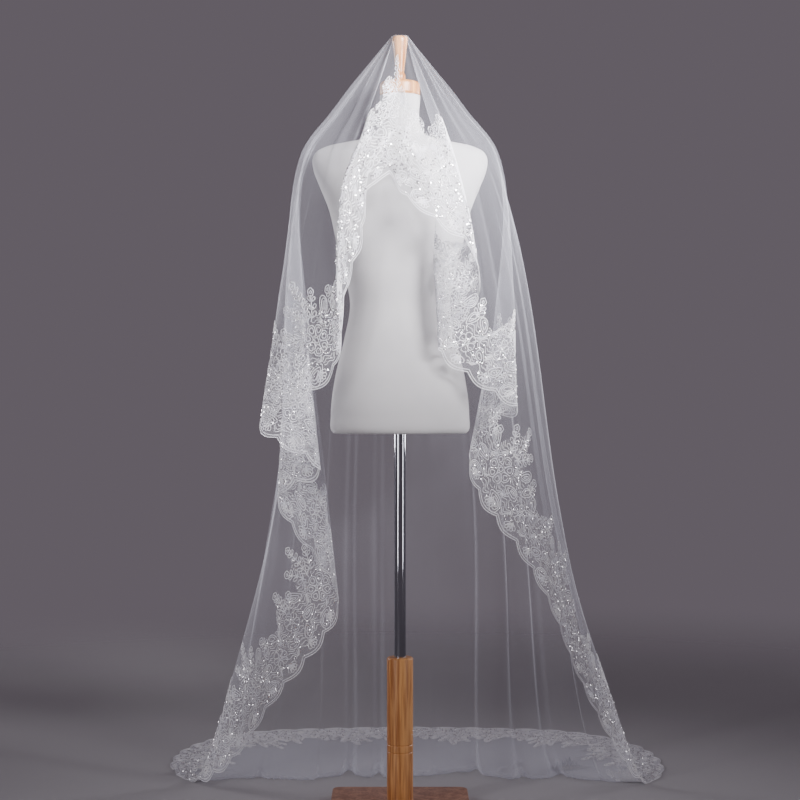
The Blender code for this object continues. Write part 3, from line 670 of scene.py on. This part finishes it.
# %% Strokes of one repeat
dice = np.random.default_rng(7)
PITCH = 0.0052
PETAL_POINT, RING_POINT, LEAST_POINTS = 0.0022, 0.00038, 9
# A petal inside a petal: its foot farther in, its length and width less, the least width, in pitches
FOOT_STEP, LENGTH_STEP, WIDTH_STEP, LEAST_WIDTH = 1.5, 2.4, 2, 0.4
# Shares of a flower's reach taken by its eye and by the gap to the petals' feet, and the petals'
# share of the room round it
FLOWER_EYE, FLOWER_GAP, PETAL_SHARE = 0.16, 0.24, 0.80
STEM_BEND, STEM_POINTS, VEIN_POINTS = 0.06, 14, 5
LEAF_LENGTH, LEAF_LOSS, LEAF_WIDTH, LEAF_TURN, VEIN_LENGTH = 0.021, 0.008, 0.46, 0.85, 1.4
BUD_RADII = (0.0085, 0.0030)
BUD_GAP = 0.006


def placed(curves, centre, turn=0.0):
    """Turn strokes by an angle in radians and move them to a centre."""
    rotation = np.array([[np.cos(turn), np.sin(turn)], [-np.sin(turn), np.cos(turn)]])
    return curves @ rotation + np.asarray(centre)


def drop(length, width):
    """A petal: t = (1 - cos a) / 2, x = length t, y = 1.25 width / 2 sin a (0.25 + 0.75 t) ** 0.7."""
    a = np.linspace(0, 2 * np.pi, max(LEAST_POINTS, int(length / PETAL_POINT)))
    t = (1 - np.cos(a)) / 2
    return np.stack([length * t, width / 2 * np.sin(a) * (0.25 + 0.75 * t) ** 0.7 * 1.25], axis=1)


def ring(radius, lobes=5, depth=0.08):
    """A wavy ring: radius (1 + depth cos(lobes a))."""
    a = np.linspace(0, 2 * np.pi, max(LEAST_POINTS, int(radius / RING_POINT)))
    r = radius * (1 + depth * np.cos(lobes * a))
    return np.stack([r * np.cos(a), r * np.sin(a)], axis=1)


def nested(length, width, sweep=0.0):
    """A petal drawn again and again inside itself, its tip swept aside."""
    strokes = []
    foot = 0.0
    while width > LEAST_WIDTH * PITCH and length > PITCH:
        curve = drop(length, width) + np.array([foot, 0.0])
        curve[:, 1] += sweep * (curve[:, 0] - foot / 2) ** 2
        strokes.append(curve)
        foot += FOOT_STEP * PITCH
        length -= LENGTH_STEP * PITCH
        width -= WIDTH_STEP * PITCH
    return strokes


def flower(centre, reach, petals, turn=0.0):
    """Nested petals round a ring: each is as wide as its share of the circle lets it be."""
    strokes = [placed(ring(reach * FLOWER_EYE), centre)]
    width = 2 * reach * np.sin(np.pi / petals) * PETAL_SHARE
    for k in range(petals):
        angle = turn + 2 * np.pi * k / petals
        foot = centre + np.array([np.cos(angle), np.sin(angle)]) * reach * FLOWER_GAP
        petal = nested(reach * (1 - FLOWER_GAP), width)
        strokes += [placed(curve, foot, angle) for curve in petal]
    return strokes


def spray(foot, reach, turn, pairs):
    """A bending stem with paired leaves, each with its vein, and a ringed bud at the tip."""

    def along_stem(t):
        return np.stack([reach * t, STEM_BEND * reach * np.sin(np.pi * t)], axis=-1)

    stem = along_stem(np.linspace(0, 1, STEM_POINTS))
    strokes = [stem]
    for k in range(pairs):
        at = (k + 0.5) / (pairs + 0.3)
        size = LEAF_LENGTH - LEAF_LOSS * at
        vein = stem[:VEIN_POINTS] / reach * size * VEIN_LENGTH
        for curve in (drop(size, size * LEAF_WIDTH), vein):
            strokes += [placed(curve, along_stem(at), side * LEAF_TURN) for side in (-1, 1)]
    strokes += [ring(radius) + np.array([reach + BUD_GAP, 0.0]) for radius in BUD_RADII]
    return [placed(stroke, foot, turn) for stroke in strokes]


# Motifs of one repeat. x is counted from the tall sprig's middle and y from the hem, in mm,
# and turns in degrees. Flowers: x, y, reach, petals, turn
FLOWERS = (
    (0, 86, 33, 7, 90), (-108, 60, 21, 6, 10), (108, 92, 22, 6, 40),
)
# Nested petals: x, y of the foot, length, width, turn, sweep
PETALS = (
    (-20, 40, 50, 30, 196, 4), (20, 40, 50, 30, -16, -4), (-44, 112, 44, 27, 140, -5),
    (44, 112, 42, 26, 24, 5), (-36, 70, 42, 25, 168, 5), (38, 72, 42, 25, 8, -5),
    (-82, 88, 36, 22, 100, 6), (84, 60, 34, 22, -60, 5), (-132, 96, 34, 22, 60, -5),
    (130, 46, 30, 20, 20, 5),
)
# Sprays: x, y of the foot, reach, turn, pairs of leaves
SPRAYS = (
    (0, 122, 84, 90, 5), (-10, 124, 54, 122, 3), (10, 124, 54, 60, 3), (106, 116, 54, 94, 4),
    (98, 112, 34, 134, 2), (-94, 108, 34, 84, 2),
)
# The front centre's own flowers and sprays, with x counted from the middle of the front edge
FRONT_FLOWERS = (
    (12, 168, 30, 7, 90), (-62, 196, 28, 7, 100), (-128, 202, 30, 7, 60), (-186, 214, 27, 6, 80),
    (62, 162, 24, 6, 90),
)
FRONT_SPRAYS = (
    (2, 190, 96, 90, 6), (14, 190, 60, 74, 4), (-16, 192, 52, 104, 4), (64, 172, 40, 84, 3),
    (-128, 216, 30, 96, 2), (-186, 226, 34, 84, 2),
)


def motif_strokes(origin, flowers, petals, sprays):
    """The raised strokes of three tables, set out from an origin."""
    strokes = []
    for x, y, reach, count, turn in flowers:
        centre = origin + np.array([x, y]) / 1000
        strokes += flower(centre, reach / 1000, count, np.radians(turn))
    for x, y, length, width, turn, sweep in petals:
        foot = origin + np.array([x, y]) / 1000
        petal = nested(length / 1000, width / 1000, sweep)
        strokes += [placed(curve, foot, np.radians(turn)) for curve in petal]
    for x, y, reach, turn, pairs in sprays:
        strokes += spray(origin + np.array([x, y]) / 1000, reach / 1000, np.radians(turn), pairs)
    return strokes


# Depths of the hem's corded lines, and of the foot and eye of the fan in each scallop
HEM_LINES, HEM_POINTS = (0.0010, 0.0062), 121
FAN_DEPTH, FAN_EYE = 0.0290, 0.0035
FAN_PETAL = (0.0185, 0.0085)
FAN_TURNS = np.radians(np.arange(-162, -17, 29))


def edge_strokes():
    """The hem: two corded scallop lines, and a small fan of petals in each scallop."""
    x = np.linspace(0, REPEAT, HEM_POINTS)
    strokes = [np.stack([x, scallop(x) + inset], axis=1) for inset in HEM_LINES]
    for k in range(SCALLOPS_PER_REPEAT):
        foot = np.array([(k + 0.5) * REPEAT / SCALLOPS_PER_REPEAT, FAN_DEPTH])
        strokes += [placed(drop(*FAN_PETAL), foot, angle) for angle in FAN_TURNS]
        strokes.append(placed(ring(FAN_EYE), foot))
    return strokes


# Wavy stitches of the filling: first and last depth, pitch, step along, room kept to the motifs,
# room kept to the lace's edges, two waves as height, waves in a repeat and slide with depth, and
# the most points that are still too few for a stitch
FILL_DEPTHS = (0.030, 0.300)
FILL_PITCH, FILL_STEP, FILL_ROOM, FILL_EDGE = 0.0054, 0.0021, 0.0032, 0.010
FILL_WAVES = ((0.0065, 5, 90), (0.0030, 13, -60))
FILL_LEAST = 3


def filling_strokes(others, start, end, bottom, top):
    """Wavy stitches one above another, broken off wherever they come near another stroke."""
    x = np.linspace(start, end, round((end - start) / FILL_STEP) + 1)
    turn = x / REPEAT * 2 * np.pi
    drawn = np.concatenate(others)
    drawn = np.concatenate([drawn, drawn + [REPEAT, 0], drawn - [REPEAT, 0]])
    strokes = []
    for level in np.arange(*FILL_DEPTHS, FILL_PITCH):
        waves = [rise * np.sin(count * turn + slide * level) for rise, count, slide in FILL_WAVES]
        y = level + waves[0] + waves[1]
        line = np.stack([x, y], axis=1)
        gap = np.array([np.hypot(*(drawn - spot).T).min() for spot in line])
        inside = (y > bottom(x) + FILL_EDGE) & (y < top(x) - FILL_EDGE) & (gap > FILL_ROOM)
        edges = np.flatnonzero(np.diff(inside.astype(int))) + 1
        runs = np.split(np.arange(len(x)), edges)
        strokes += [line[run] for run in runs if inside[run[0]] and len(run) > FILL_LEAST]
    return strokes


# %% [markdown]
# From strokes to cords
#
# Each stroke becomes a low ribbon with three points across: the middle one stands proud, so light
# catches it as it does a laid cord. The whole repeat is then set along the hem and carried onto
# the drape. The hem's stretches are five pieces, as the maker sews the lace on in stretches.


# %% Ribbons and their place on the drape
def ribbon(strokes, width, rise):
    """Points (x, y, height) and quads of ribbons along strokes of equal length."""
    strokes = np.asarray(strokes)
    count, samples = strokes.shape[:2]
    along = np.gradient(strokes, axis=1)
    closed = np.linalg.norm(strokes[:, 0] - strokes[:, -1], axis=1) < MERGE_DISTANCE
    along[closed, 0] = along[closed, -1] = (strokes[:, 1] - strokes[:, -2])[closed]
    along /= np.maximum(np.linalg.norm(along, axis=2, keepdims=True), 1e-9)
    side = np.stack([-along[..., 1], along[..., 0]], axis=-1) * width / 2
    rows = np.stack([strokes - side, strokes, strokes + side], axis=2)
    heights = np.broadcast_to(np.array([0.0, rise, 0.0]), (count, samples, 3))
    points = np.concatenate([rows, heights[..., None]], axis=-1).reshape(-1, 3)
    faces = grid_faces(samples, 3)
    faces = (faces[None] + (np.arange(count) * samples * 3)[:, None, None]).reshape(-1, 4)
    return points, faces


def gathered(sets):
    """Join sets of points and faces into one, with the faces' numbers moved on."""
    starts = np.cumsum([0] + [len(points) for points, _ in sets])
    points = np.concatenate([points for points, _ in sets])
    faces = np.concatenate([faces + start for (_, faces), start in zip(sets, starts)])
    return points, faces


def by_length(strokes, width, rise):
    """Ribbons along strokes of any length, those of one length together."""
    lengths = sorted({len(s) for s in strokes})
    return [ribbon([s for s in strokes if len(s) == n], width, rise) for n in lengths]


CORD_WIDTH, CORD_RISE = 0.0020, 0.0012
STITCH_SHARE = 0.8
FRONT_OVERLAP = 0.02


def corded(strokes, stitches):
    """Ribbons along full strokes and along finer filling stitches, as one set."""
    sets = by_length(strokes, CORD_WIDTH, CORD_RISE)
    return gathered(sets + by_length(stitches, STITCH_SHARE * CORD_WIDTH, STITCH_SHARE * CORD_RISE))


sprig_middle = np.array([REPEAT / 2, 0.0])
repeat_strokes = motif_strokes(sprig_middle, FLOWERS, PETALS, SPRAYS) + edge_strokes()
repeat_stitches = filling_strokes(repeat_strokes, 0.0, REPEAT, scallop, sprig)
repeat_points, repeat_faces = corded(repeat_strokes, repeat_stitches)
front_strokes = motif_strokes(np.zeros(2), FRONT_FLOWERS, (), FRONT_SPRAYS)
front_stitches = filling_strokes(
    front_strokes, -FRONT_RIGHT[1], FRONT_LEFT[1], lambda x: sprig(x) - FRONT_OVERLAP, front_top
)
print(f"one repeat: {len(repeat_strokes)} strokes, {len(repeat_stitches)} stitches, ", end="")
print(f"{2 * len(repeat_faces)} triangles")

LACE_STRETCHES = (
    ("lace_front_left", 0, 6),
    ("lace_left_side", 6, 16),
    ("lace_train", 16, 26),
    ("lace_right_side", 26, 34),
    ("lace_front_right", 34, 44),
)
LACE_LIFT = 0.0007
surface_normals = cloth.normals()


def on_drape(flat):
    """Carry flat points (x, y, height) onto the drape, lifted along its normals."""
    line, share = cloth.band(flat[:, 0], flat[:, 1])
    base = cloth.at(cloth.points, line, share)
    normal = unit(cloth.at(surface_normals, line, share))
    placed_points = base + normal * (flat[:, 2:] + LACE_LIFT)
    placed_points[:, 2] = np.maximum(placed_points[:, 2], FLOOR_LEVEL)
    return placed_points


def build_lace(material):
    """Set the repeats along the hem, share their faces among the stretches, and drape each."""
    shifted = [repeat_points + np.array([k * REPEAT, 0.0, 0.0]) for k in range(REPEATS)]
    sets = [(points, repeat_faces) for points in shifted]
    flat, faces = gathered([*sets, corded(front_strokes, front_stitches)])
    middle = np.mod(flat[faces, 0].mean(axis=1), cloth.hem_length)
    draped = on_drape(flat)
    pieces = []
    for name, first, last in LACE_STRETCHES:
        own = faces[(middle >= cloth.place_of(first)) & (middle < cloth.place_of(last))]
        used, renumbered = np.unique(own, return_inverse=True)
        quads = renumbered.reshape(own.shape)
        pieces.append(make_piece(name + "_cords", draped[used], quads, material, [name]))
    return pieces


# %% Lace and sequin materials
def lace_material():
    """White thread: a little uneven in colour, with a fine twisted surface."""
    material, place = new_material("lace_thread")
    patches = place.noise(55.0, Detail=3.0).step(0.35, 0.65)
    sockets = {
        "Base Color": patches.mixed((0.88, 0.88, 0.93), (0.97, 0.97, 0.98)),
        "Roughness": 0.48,
        "Normal": place.noise(900.0).bump(0.0004, 0.6),
        "Sheen Weight": 0.25,
    }
    finish_material(place, sockets)
    return material


def sequin_material():
    """Bright plastic discs with a mirror-like face."""
    material, place = new_material("sequins")
    colour = place.noise(300.0).mixed((0.93, 0.95, 1.0), (1.0, 0.97, 0.93))
    finish_material(place, {"Base Color": colour, "Roughness": 0.18, "Metallic": 0.85})
    return material


lace_pieces = build_lace(lace_material())

# %% [markdown]
# Sequins
#
# Thousands of small discs are sewn among the cords. Each lies at its own slight tilt, which is why
# only some flash at a time. A disc is a low cone of six triangles on two directions that are
# tilted by chance, and all of them are worked out together.

# %% Sequin discs
SEQUINS_PER_REPEAT = 300
SEQUIN_SIDES = 6
SEQUIN_RADIUS, SEQUIN_RISE, SEQUIN_LIFT = 0.0019, 0.0004, 0.0012
SEQUIN_TILT = 0.34
ASIDE = (0.3, 0.2, 0.9)
# Room kept to the hem and to the lace's inner edge
SEQUIN_START, SEQUIN_MARGIN = 0.016, 0.012


def build_sequins(material):
    """Discs with a raised middle: each corner is centre + radius (cos a e1 + sin a e2)."""
    count = SEQUINS_PER_REPEAT * REPEATS
    place = dice.uniform(0, cloth.hem_length, count * 2)
    depth = dice.uniform(SEQUIN_START, LACE_WIDTH + SPRIG_HEIGHT, count * 2)
    keep = depth < front_top(place) - SEQUIN_MARGIN
    place, depth = place[keep][:count], depth[keep][:count]
    centre = on_drape(np.stack([place, depth, np.full(count, SEQUIN_LIFT)], axis=1))
    normal = cloth.at(surface_normals, *cloth.band(place, depth))
    normal = unit(normal + dice.normal(0, SEQUIN_TILT, normal.shape))
    e1 = unit(np.cross(normal, ASIDE))
    e2 = np.cross(normal, e1)
    k = np.arange(SEQUIN_SIDES)
    a = (k / SEQUIN_SIDES * 2 * np.pi)[None, :, None]
    rims = centre[:, None] + SEQUIN_RADIUS * (np.cos(a) * e1[:, None] + np.sin(a) * e2[:, None])
    rims[..., 2] = np.maximum(rims[..., 2], FLOOR_LEVEL)
    tops = centre[:, None] + SEQUIN_RISE * normal[:, None]
    points = np.concatenate([tops, rims], axis=1).reshape(-1, 3)
    fan = np.stack([0 * k, 1 + k, 1 + (k + 1) % SEQUIN_SIDES], axis=1)
    starts = np.arange(count) * (SEQUIN_SIDES + 1)
    faces = (fan[None] + starts[:, None, None]).reshape(-1, 3)
    return make_piece("sequins", points, faces, material)


sequins = build_sequins(sequin_material())

# %% [markdown]
# The dress form
#
# The torso is a padded shell under stretched jersey. Its section is a soft oval whose width and
# depth change with height, so it is a surface of two parameters, height and angle. The table's
# sections are joined by a smooth curve, and the ends are closed with rounded edges.

# %% Torso
# Sections of the torso: z, half width, depth to the front, depth to the back, in mm
TORSO = (
    (812, 142, 100, 98), (818, 147, 105, 103), (850, 148, 108, 107), (930, 139, 103, 104),
    (1010, 120, 95, 92), (1086, 107, 90, 82), (1160, 120, 100, 86), (1230, 138, 108, 93),
    (1290, 152, 98, 97), (1340, 172, 84, 92), (1375, 185, 70, 80), (1398, 187, 60, 68),
    (1413, 180, 52, 58), (1424, 160, 46, 50), (1433, 120, 44, 46), (1441, 80, 42, 44),
    (1452, 53, 41, 42), (1470, 44, 40, 40), (1533.7, 43, 40, 40),
)


def smooth_between(table, samples):
    """Rows of a table joined by cubics whose slopes are the neighbours' chords."""
    rows = np.array(table) / 1000
    gaps = np.linalg.norm(np.diff(rows, axis=0), axis=1)
    knots = np.concatenate([[0], np.cumsum(gaps)])
    slopes = np.gradient(rows, knots, axis=0)
    return read_curve(knots, rows, slopes, np.linspace(0, knots[-1], samples))


def capped(rings):
    """Close a stack of rings at both ends with a middle point, as quads with one short side."""
    count, sides = rings.shape[:2]
    foot = np.broadcast_to(rings[0].mean(axis=0), (1, sides, 3))
    head = np.broadcast_to(rings[-1].mean(axis=0), (1, sides, 3))
    rings = np.concatenate([foot, rings, head])
    points = rings.reshape(-1, 3)
    return points, grid_faces(count + 2, sides, close=True)


TORSO_RINGS, TORSO_SIDES = 170, 128
ROUNDNESS = 0.92


def build_torso(material):
    """Sections |x/w| ** p + |y/d| ** p = 1 with p a little above 2, one for each height."""
    height, width, front, back = smooth_between(TORSO, TORSO_RINGS).T[:, :, None]
    angle = around(TORSO_SIDES)[None, :]
    across = width * np.sign(np.cos(angle)) * np.abs(np.cos(angle)) ** ROUNDNESS
    deep = np.sign(np.sin(angle)) * np.abs(np.sin(angle)) ** ROUNDNESS
    along = np.where(deep > 0, back * deep, front * deep)
    rings = np.stack([across, along, np.broadcast_to(height, across.shape)], axis=-1)
    points, faces = capped(rings)
    return make_piece("torso_jersey", points, faces, material, ["form_torso"])


def jersey_material():
    """Matt stretch jersey: fine ribs of stitches and faint patches of lighter and darker tone at
    random.
    """
    material, place = new_material("jersey")
    ribs, rows = (
        place.node(
            "ShaderNodeTexWave",
            {"bands_direction": axis},
            {"Vector": place, "Scale": scale, "Distortion": 0.6},
        )
        for axis, scale in (("X", 260.0), ("Z", 220.0))
    )
    patches = place.noise(6.0, Detail=3.0).step(0.3, 0.7)
    sockets = {
        "Base Color": patches.mixed((0.53, 0.525, 0.53), (0.60, 0.595, 0.59)),
        "Roughness": 0.85,
        "Sheen Weight": 0.2,
        "Normal": (ribs * rows).bump(0.0003, 0.5),
    }
    finish_material(place, sockets)
    return material


build_torso(jersey_material())

# %% [markdown]
# Turned wood, steel pole and base board
#
# The finial, the neck cap and the pole sleeve are turned on a lathe, so each is a profile of
# radius and height carried round the pole's axis. The pole is a plain polished tube.

# %% Turned pieces
LATHE_SHARP, BOARD_SHARP = np.radians(35), np.radians(50)


def lathe(name, profile, sides, material, node):
    """Turn a profile of (radius, height) rows round the z axis and close both ends."""
    radius, height = np.array(profile, float).T[:, :, None]
    angle = around(sides)[None, :]
    rings = [radius * np.cos(angle), radius * np.sin(angle), height + 0 * angle]
    points, faces = capped(np.stack(rings, axis=-1))
    piece = make_piece(name, points, faces, material, [node])
    piece.data.set_sharp_from_angle(angle=LATHE_SHARP)


def rounded(profile, radius, samples=5):
    """Replace each inner corner of a profile with an arc-like curve that starts a radius away."""
    profile = np.array(profile, float)
    t = np.linspace(0, 1, samples)[:, None]
    rows = [profile[:1]]
    for before, corner, after in zip(profile[:-2], profile[1:-1], profile[2:]):
        arms = [(end - corner, np.linalg.norm(end - corner)) for end in (before, after)]
        start, end = (corner + arm / size * min(radius, size * 0.45) for arm, size in arms)
        rows.append((1 - t) ** 2 * start + 2 * t * (1 - t) * corner + t**2 * end)
    rows.append(profile[-1:])
    return np.concatenate(rows)


def wood_material(name, dark, light, roughness):
    """Straight-grained wood: long streaks along z from drawn-out noise, and fine pores."""
    material, place = new_material(name)
    long_place = place.drawn_out(0.06)
    streaks = long_place.noise(190.0, Detail=4.0)
    grain = streaks * 0.5 + long_place.noise(45.0, Distortion=0.8) * 0.5
    sockets = {
        "Base Color": grain.step(0.38, 0.62).mixed(dark, light),
        "Roughness": grain * 0.15 + roughness,
        "Normal": streaks.bump(0.0004, 0.4),
        "Coat Weight": 0.25,
        "Coat Roughness": 0.25,
    }
    finish_material(place, sockets)
    return material


def chrome_material():
    """Polished steel with the faintest drawn lines along the tube."""
    material, place = new_material("pole_steel")
    roughness = place.drawn_out(0.01).noise(900.0) * 0.06 + 0.05
    colour = (0.38, 0.39, 0.42, 1.0)
    finish_material(place, {"Base Color": colour, "Roughness": roughness, "Metallic": 1.0})
    return material


pine = wood_material("pine", (0.38, 0.135, 0.030), (0.74, 0.36, 0.12), 0.36)
brown = wood_material("brown_wood", (0.27, 0.115, 0.065), (0.48, 0.25, 0.15), 0.42)

# Radii of the finial: its waist, the bead, the flare's start, the knob and its top edge
WAIST, BEAD, FLARE, KNOB, KNOB_TOP = 0.0085, 0.0115, 0.0139, 0.017, 0.0155
DOME = 0.028
low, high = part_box("finial")
finial = [
    (WAIST, low.z),
    (BEAD, low.z + 0.006),
    (BEAD, low.z + 0.014),
    (WAIST, low.z + 0.020),
    (FLARE, high.z - DOME),
    (KNOB, high.z - DOME / 3),
    (KNOB, high.z - 0.003),
    (KNOB_TOP, high.z),
]
lathe("finial_turned", rounded(finial, 0.004), 64, pine, "finial")

EDGE = 0.003
low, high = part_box("neck_cap")
cap = [
    (high.x - EDGE, low.z),
    (high.x, low.z + EDGE),
    (high.x, high.z - 2 * EDGE),
    (high.x - EDGE, high.z - EDGE / 2),
    (high.x - 3 * EDGE, high.z),
]
lathe("neck_cap_turned", rounded(cap, 0.002), 96, pine, "neck_cap")

GROOVE_LEVELS, GROOVE = (0.131, 0.147), 0.0015
low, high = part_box("pole_sleeve")
sleeve = [(high.x - 0.001, low.z), (high.x, low.z + 0.001)]
for level in GROOVE_LEVELS:
    sleeve += [(high.x, level - GROOVE), (high.x - GROOVE, level), (high.x, level + GROOVE)]
sleeve += [(high.x, high.z - EDGE), (high.x - EDGE, high.z)]
lathe("pole_sleeve_turned", rounded(sleeve, 0.0008), 96, pine, "pole_sleeve")

low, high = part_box("pole")
pole = [(high.x, low.z), (high.x, high.z)]
lathe("pole_tube", pole, 64, chrome_material(), "pole")

# %% [markdown]
# The base board is a square plate with rounded corners and eased edges. Its outline is one arc
# carried into each corner, and the outline is drawn in a little at the top and the bottom.

# %% Base board
BOARD_CORNER, BOARD_EDGE = 0.020, 0.003


def build_board(material):
    """Rounded square rings: corner centre + (radius - inset) (cos a, sin a), at a few heights."""
    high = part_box("base_board")[1]
    angle = (np.arange(64) + 0.5) / 64 * 2 * np.pi
    arc = np.stack([np.cos(angle), np.sin(angle)], axis=1)
    turn = np.linspace(0, np.pi / 2, 5)
    inset = BOARD_EDGE * (1 - np.sin(turn))
    height = BOARD_EDGE * (1 - np.cos(turn))
    radii = BOARD_CORNER - np.concatenate([inset, inset[::-1]])[:, None, None]
    outline = (high.x - BOARD_CORNER) * np.sign(arc)[None] + arc[None] * radii
    heights = np.concatenate([height, high.z - height[::-1]])[:, None, None]
    level = np.broadcast_to(heights, (*outline.shape[:2], 1))
    points, faces = capped(np.concatenate([outline, level], axis=-1))
    piece = make_piece("base_board_wood", points, faces, material, ["base_board"])
    piece.data.set_sharp_from_angle(angle=BOARD_SHARP)


build_board(brown)

# %% [markdown]
# Floor, light and camera
#
# The floor is a plain disc that fades into the background, so no horizon cuts behind the sheer
# cloth. A key light from the right front and a wide fill from the left show the lace, two lights
# from behind make the tulle glow, and two upright strips draw the bright lines on the pole. The
# camera looks level from 3.5 metres, as the photograph was taken.

# %% Stage
FLOOR_RADIUS, FLOOR_RINGS, FLOOR_SIDES = 4.0, 12, 96
FADE_START, FADE_END = 1.3, 3.8
LAMP_COLOUR = (0.98, 0.95, 1.0)
AIR_COLOUR = (0.130, 0.112, 0.132, 1.0)
# Lights: name, place, target, width and height, watts, spread in degrees
LIGHTS = (
    ("key", (1.0, -1.3, 1.9), (0.05, 0, 1.53), (0.7, 0.7), 15.5, 44),
    ("fill", (-1.8, -3.0, 1.3), (0, 0, 1.0), (1.2, 1.6), 13, 180),
    ("back_left", (-2.2, 1.6, 1.3), (0, 0.1, 1.3), (0.8, 1.2), 9, 60),
    ("back_right", (2.2, 1.6, 1.3), (0, 0.1, 1.3), (0.8, 1.2), 9, 60),
    ("strip_left", (-1.5, -1.6, 0.90), (0, 0, 0.75), (0.16, 1.2), 3, 90),
    ("strip_right", (1.9, -1.1, 0.90), (0, 0, 0.75), (0.16, 1.2), 3, 90),
)
CAMERA_PLACE = (0, -3.5, 0.883)
CAMERA_LENS = 73.55


def build_floor():
    """A flat disc of rings; its material fades out with distance from the middle."""
    material, place = new_material("studio_floor")
    distance = place.node("ShaderNodeVectorMath", {"operation": "LENGTH"}, {0: place}, 1)
    fade = 1 - distance.step(FADE_START, FADE_END)
    colour = place.noise(1.5).mixed((0.42, 0.41, 0.42), (0.47, 0.46, 0.47))
    finish_material(place, {"Base Color": colour, "Roughness": 0.75, "Alpha": fade})
    radius = np.linspace(0, FLOOR_RADIUS, FLOOR_RINGS)[:, None]
    angle = around(FLOOR_SIDES)[None, :]
    points = np.stack([radius * np.cos(angle), radius * np.sin(angle), 0 * radius * angle], axis=-1)
    mesh = bpy.data.meshes.new("studio_floor")
    faces = grid_faces(FLOOR_RINGS, FLOOR_SIDES, close=True)
    mesh.from_pydata(points.reshape(-1, 3).tolist(), [], faces.tolist())
    mesh.materials.append(material)
    put("studio_floor", mesh)


build_floor()
for name, place, target, size, watts, spread in LIGHTS:
    lamp = bpy.data.lights.new(name, "AREA")
    lamp.shape = "RECTANGLE"
    lamp.size, lamp.size_y = size
    lamp.energy = watts
    lamp.spread = np.radians(spread)
    lamp.color = LAMP_COLOUR
    light = put(name, lamp)
    light.location = place
    away = np.subtract(place, target)
    tilt = np.arctan2(np.hypot(away[0], away[1]), away[2])
    light.rotation_euler = (tilt, 0, np.arctan2(away[0], -away[1]))
    light.visible_camera = False

world = bpy.data.worlds.new("studio_air")
bpy.context.scene.world = world
world.use_nodes = True
world.node_tree.nodes["Background"].inputs["Color"].default_value = AIR_COLOUR

lens = bpy.data.cameras.new("camera")
lens.sensor_width = 36
lens.lens = CAMERA_LENS
camera = put("camera", lens)
camera.location = CAMERA_PLACE
camera.rotation_euler = (np.pi / 2, 0, 0)
bpy.context.scene.camera = camera
bpy.context.scene.cycles.transparent_max_bounces = 24
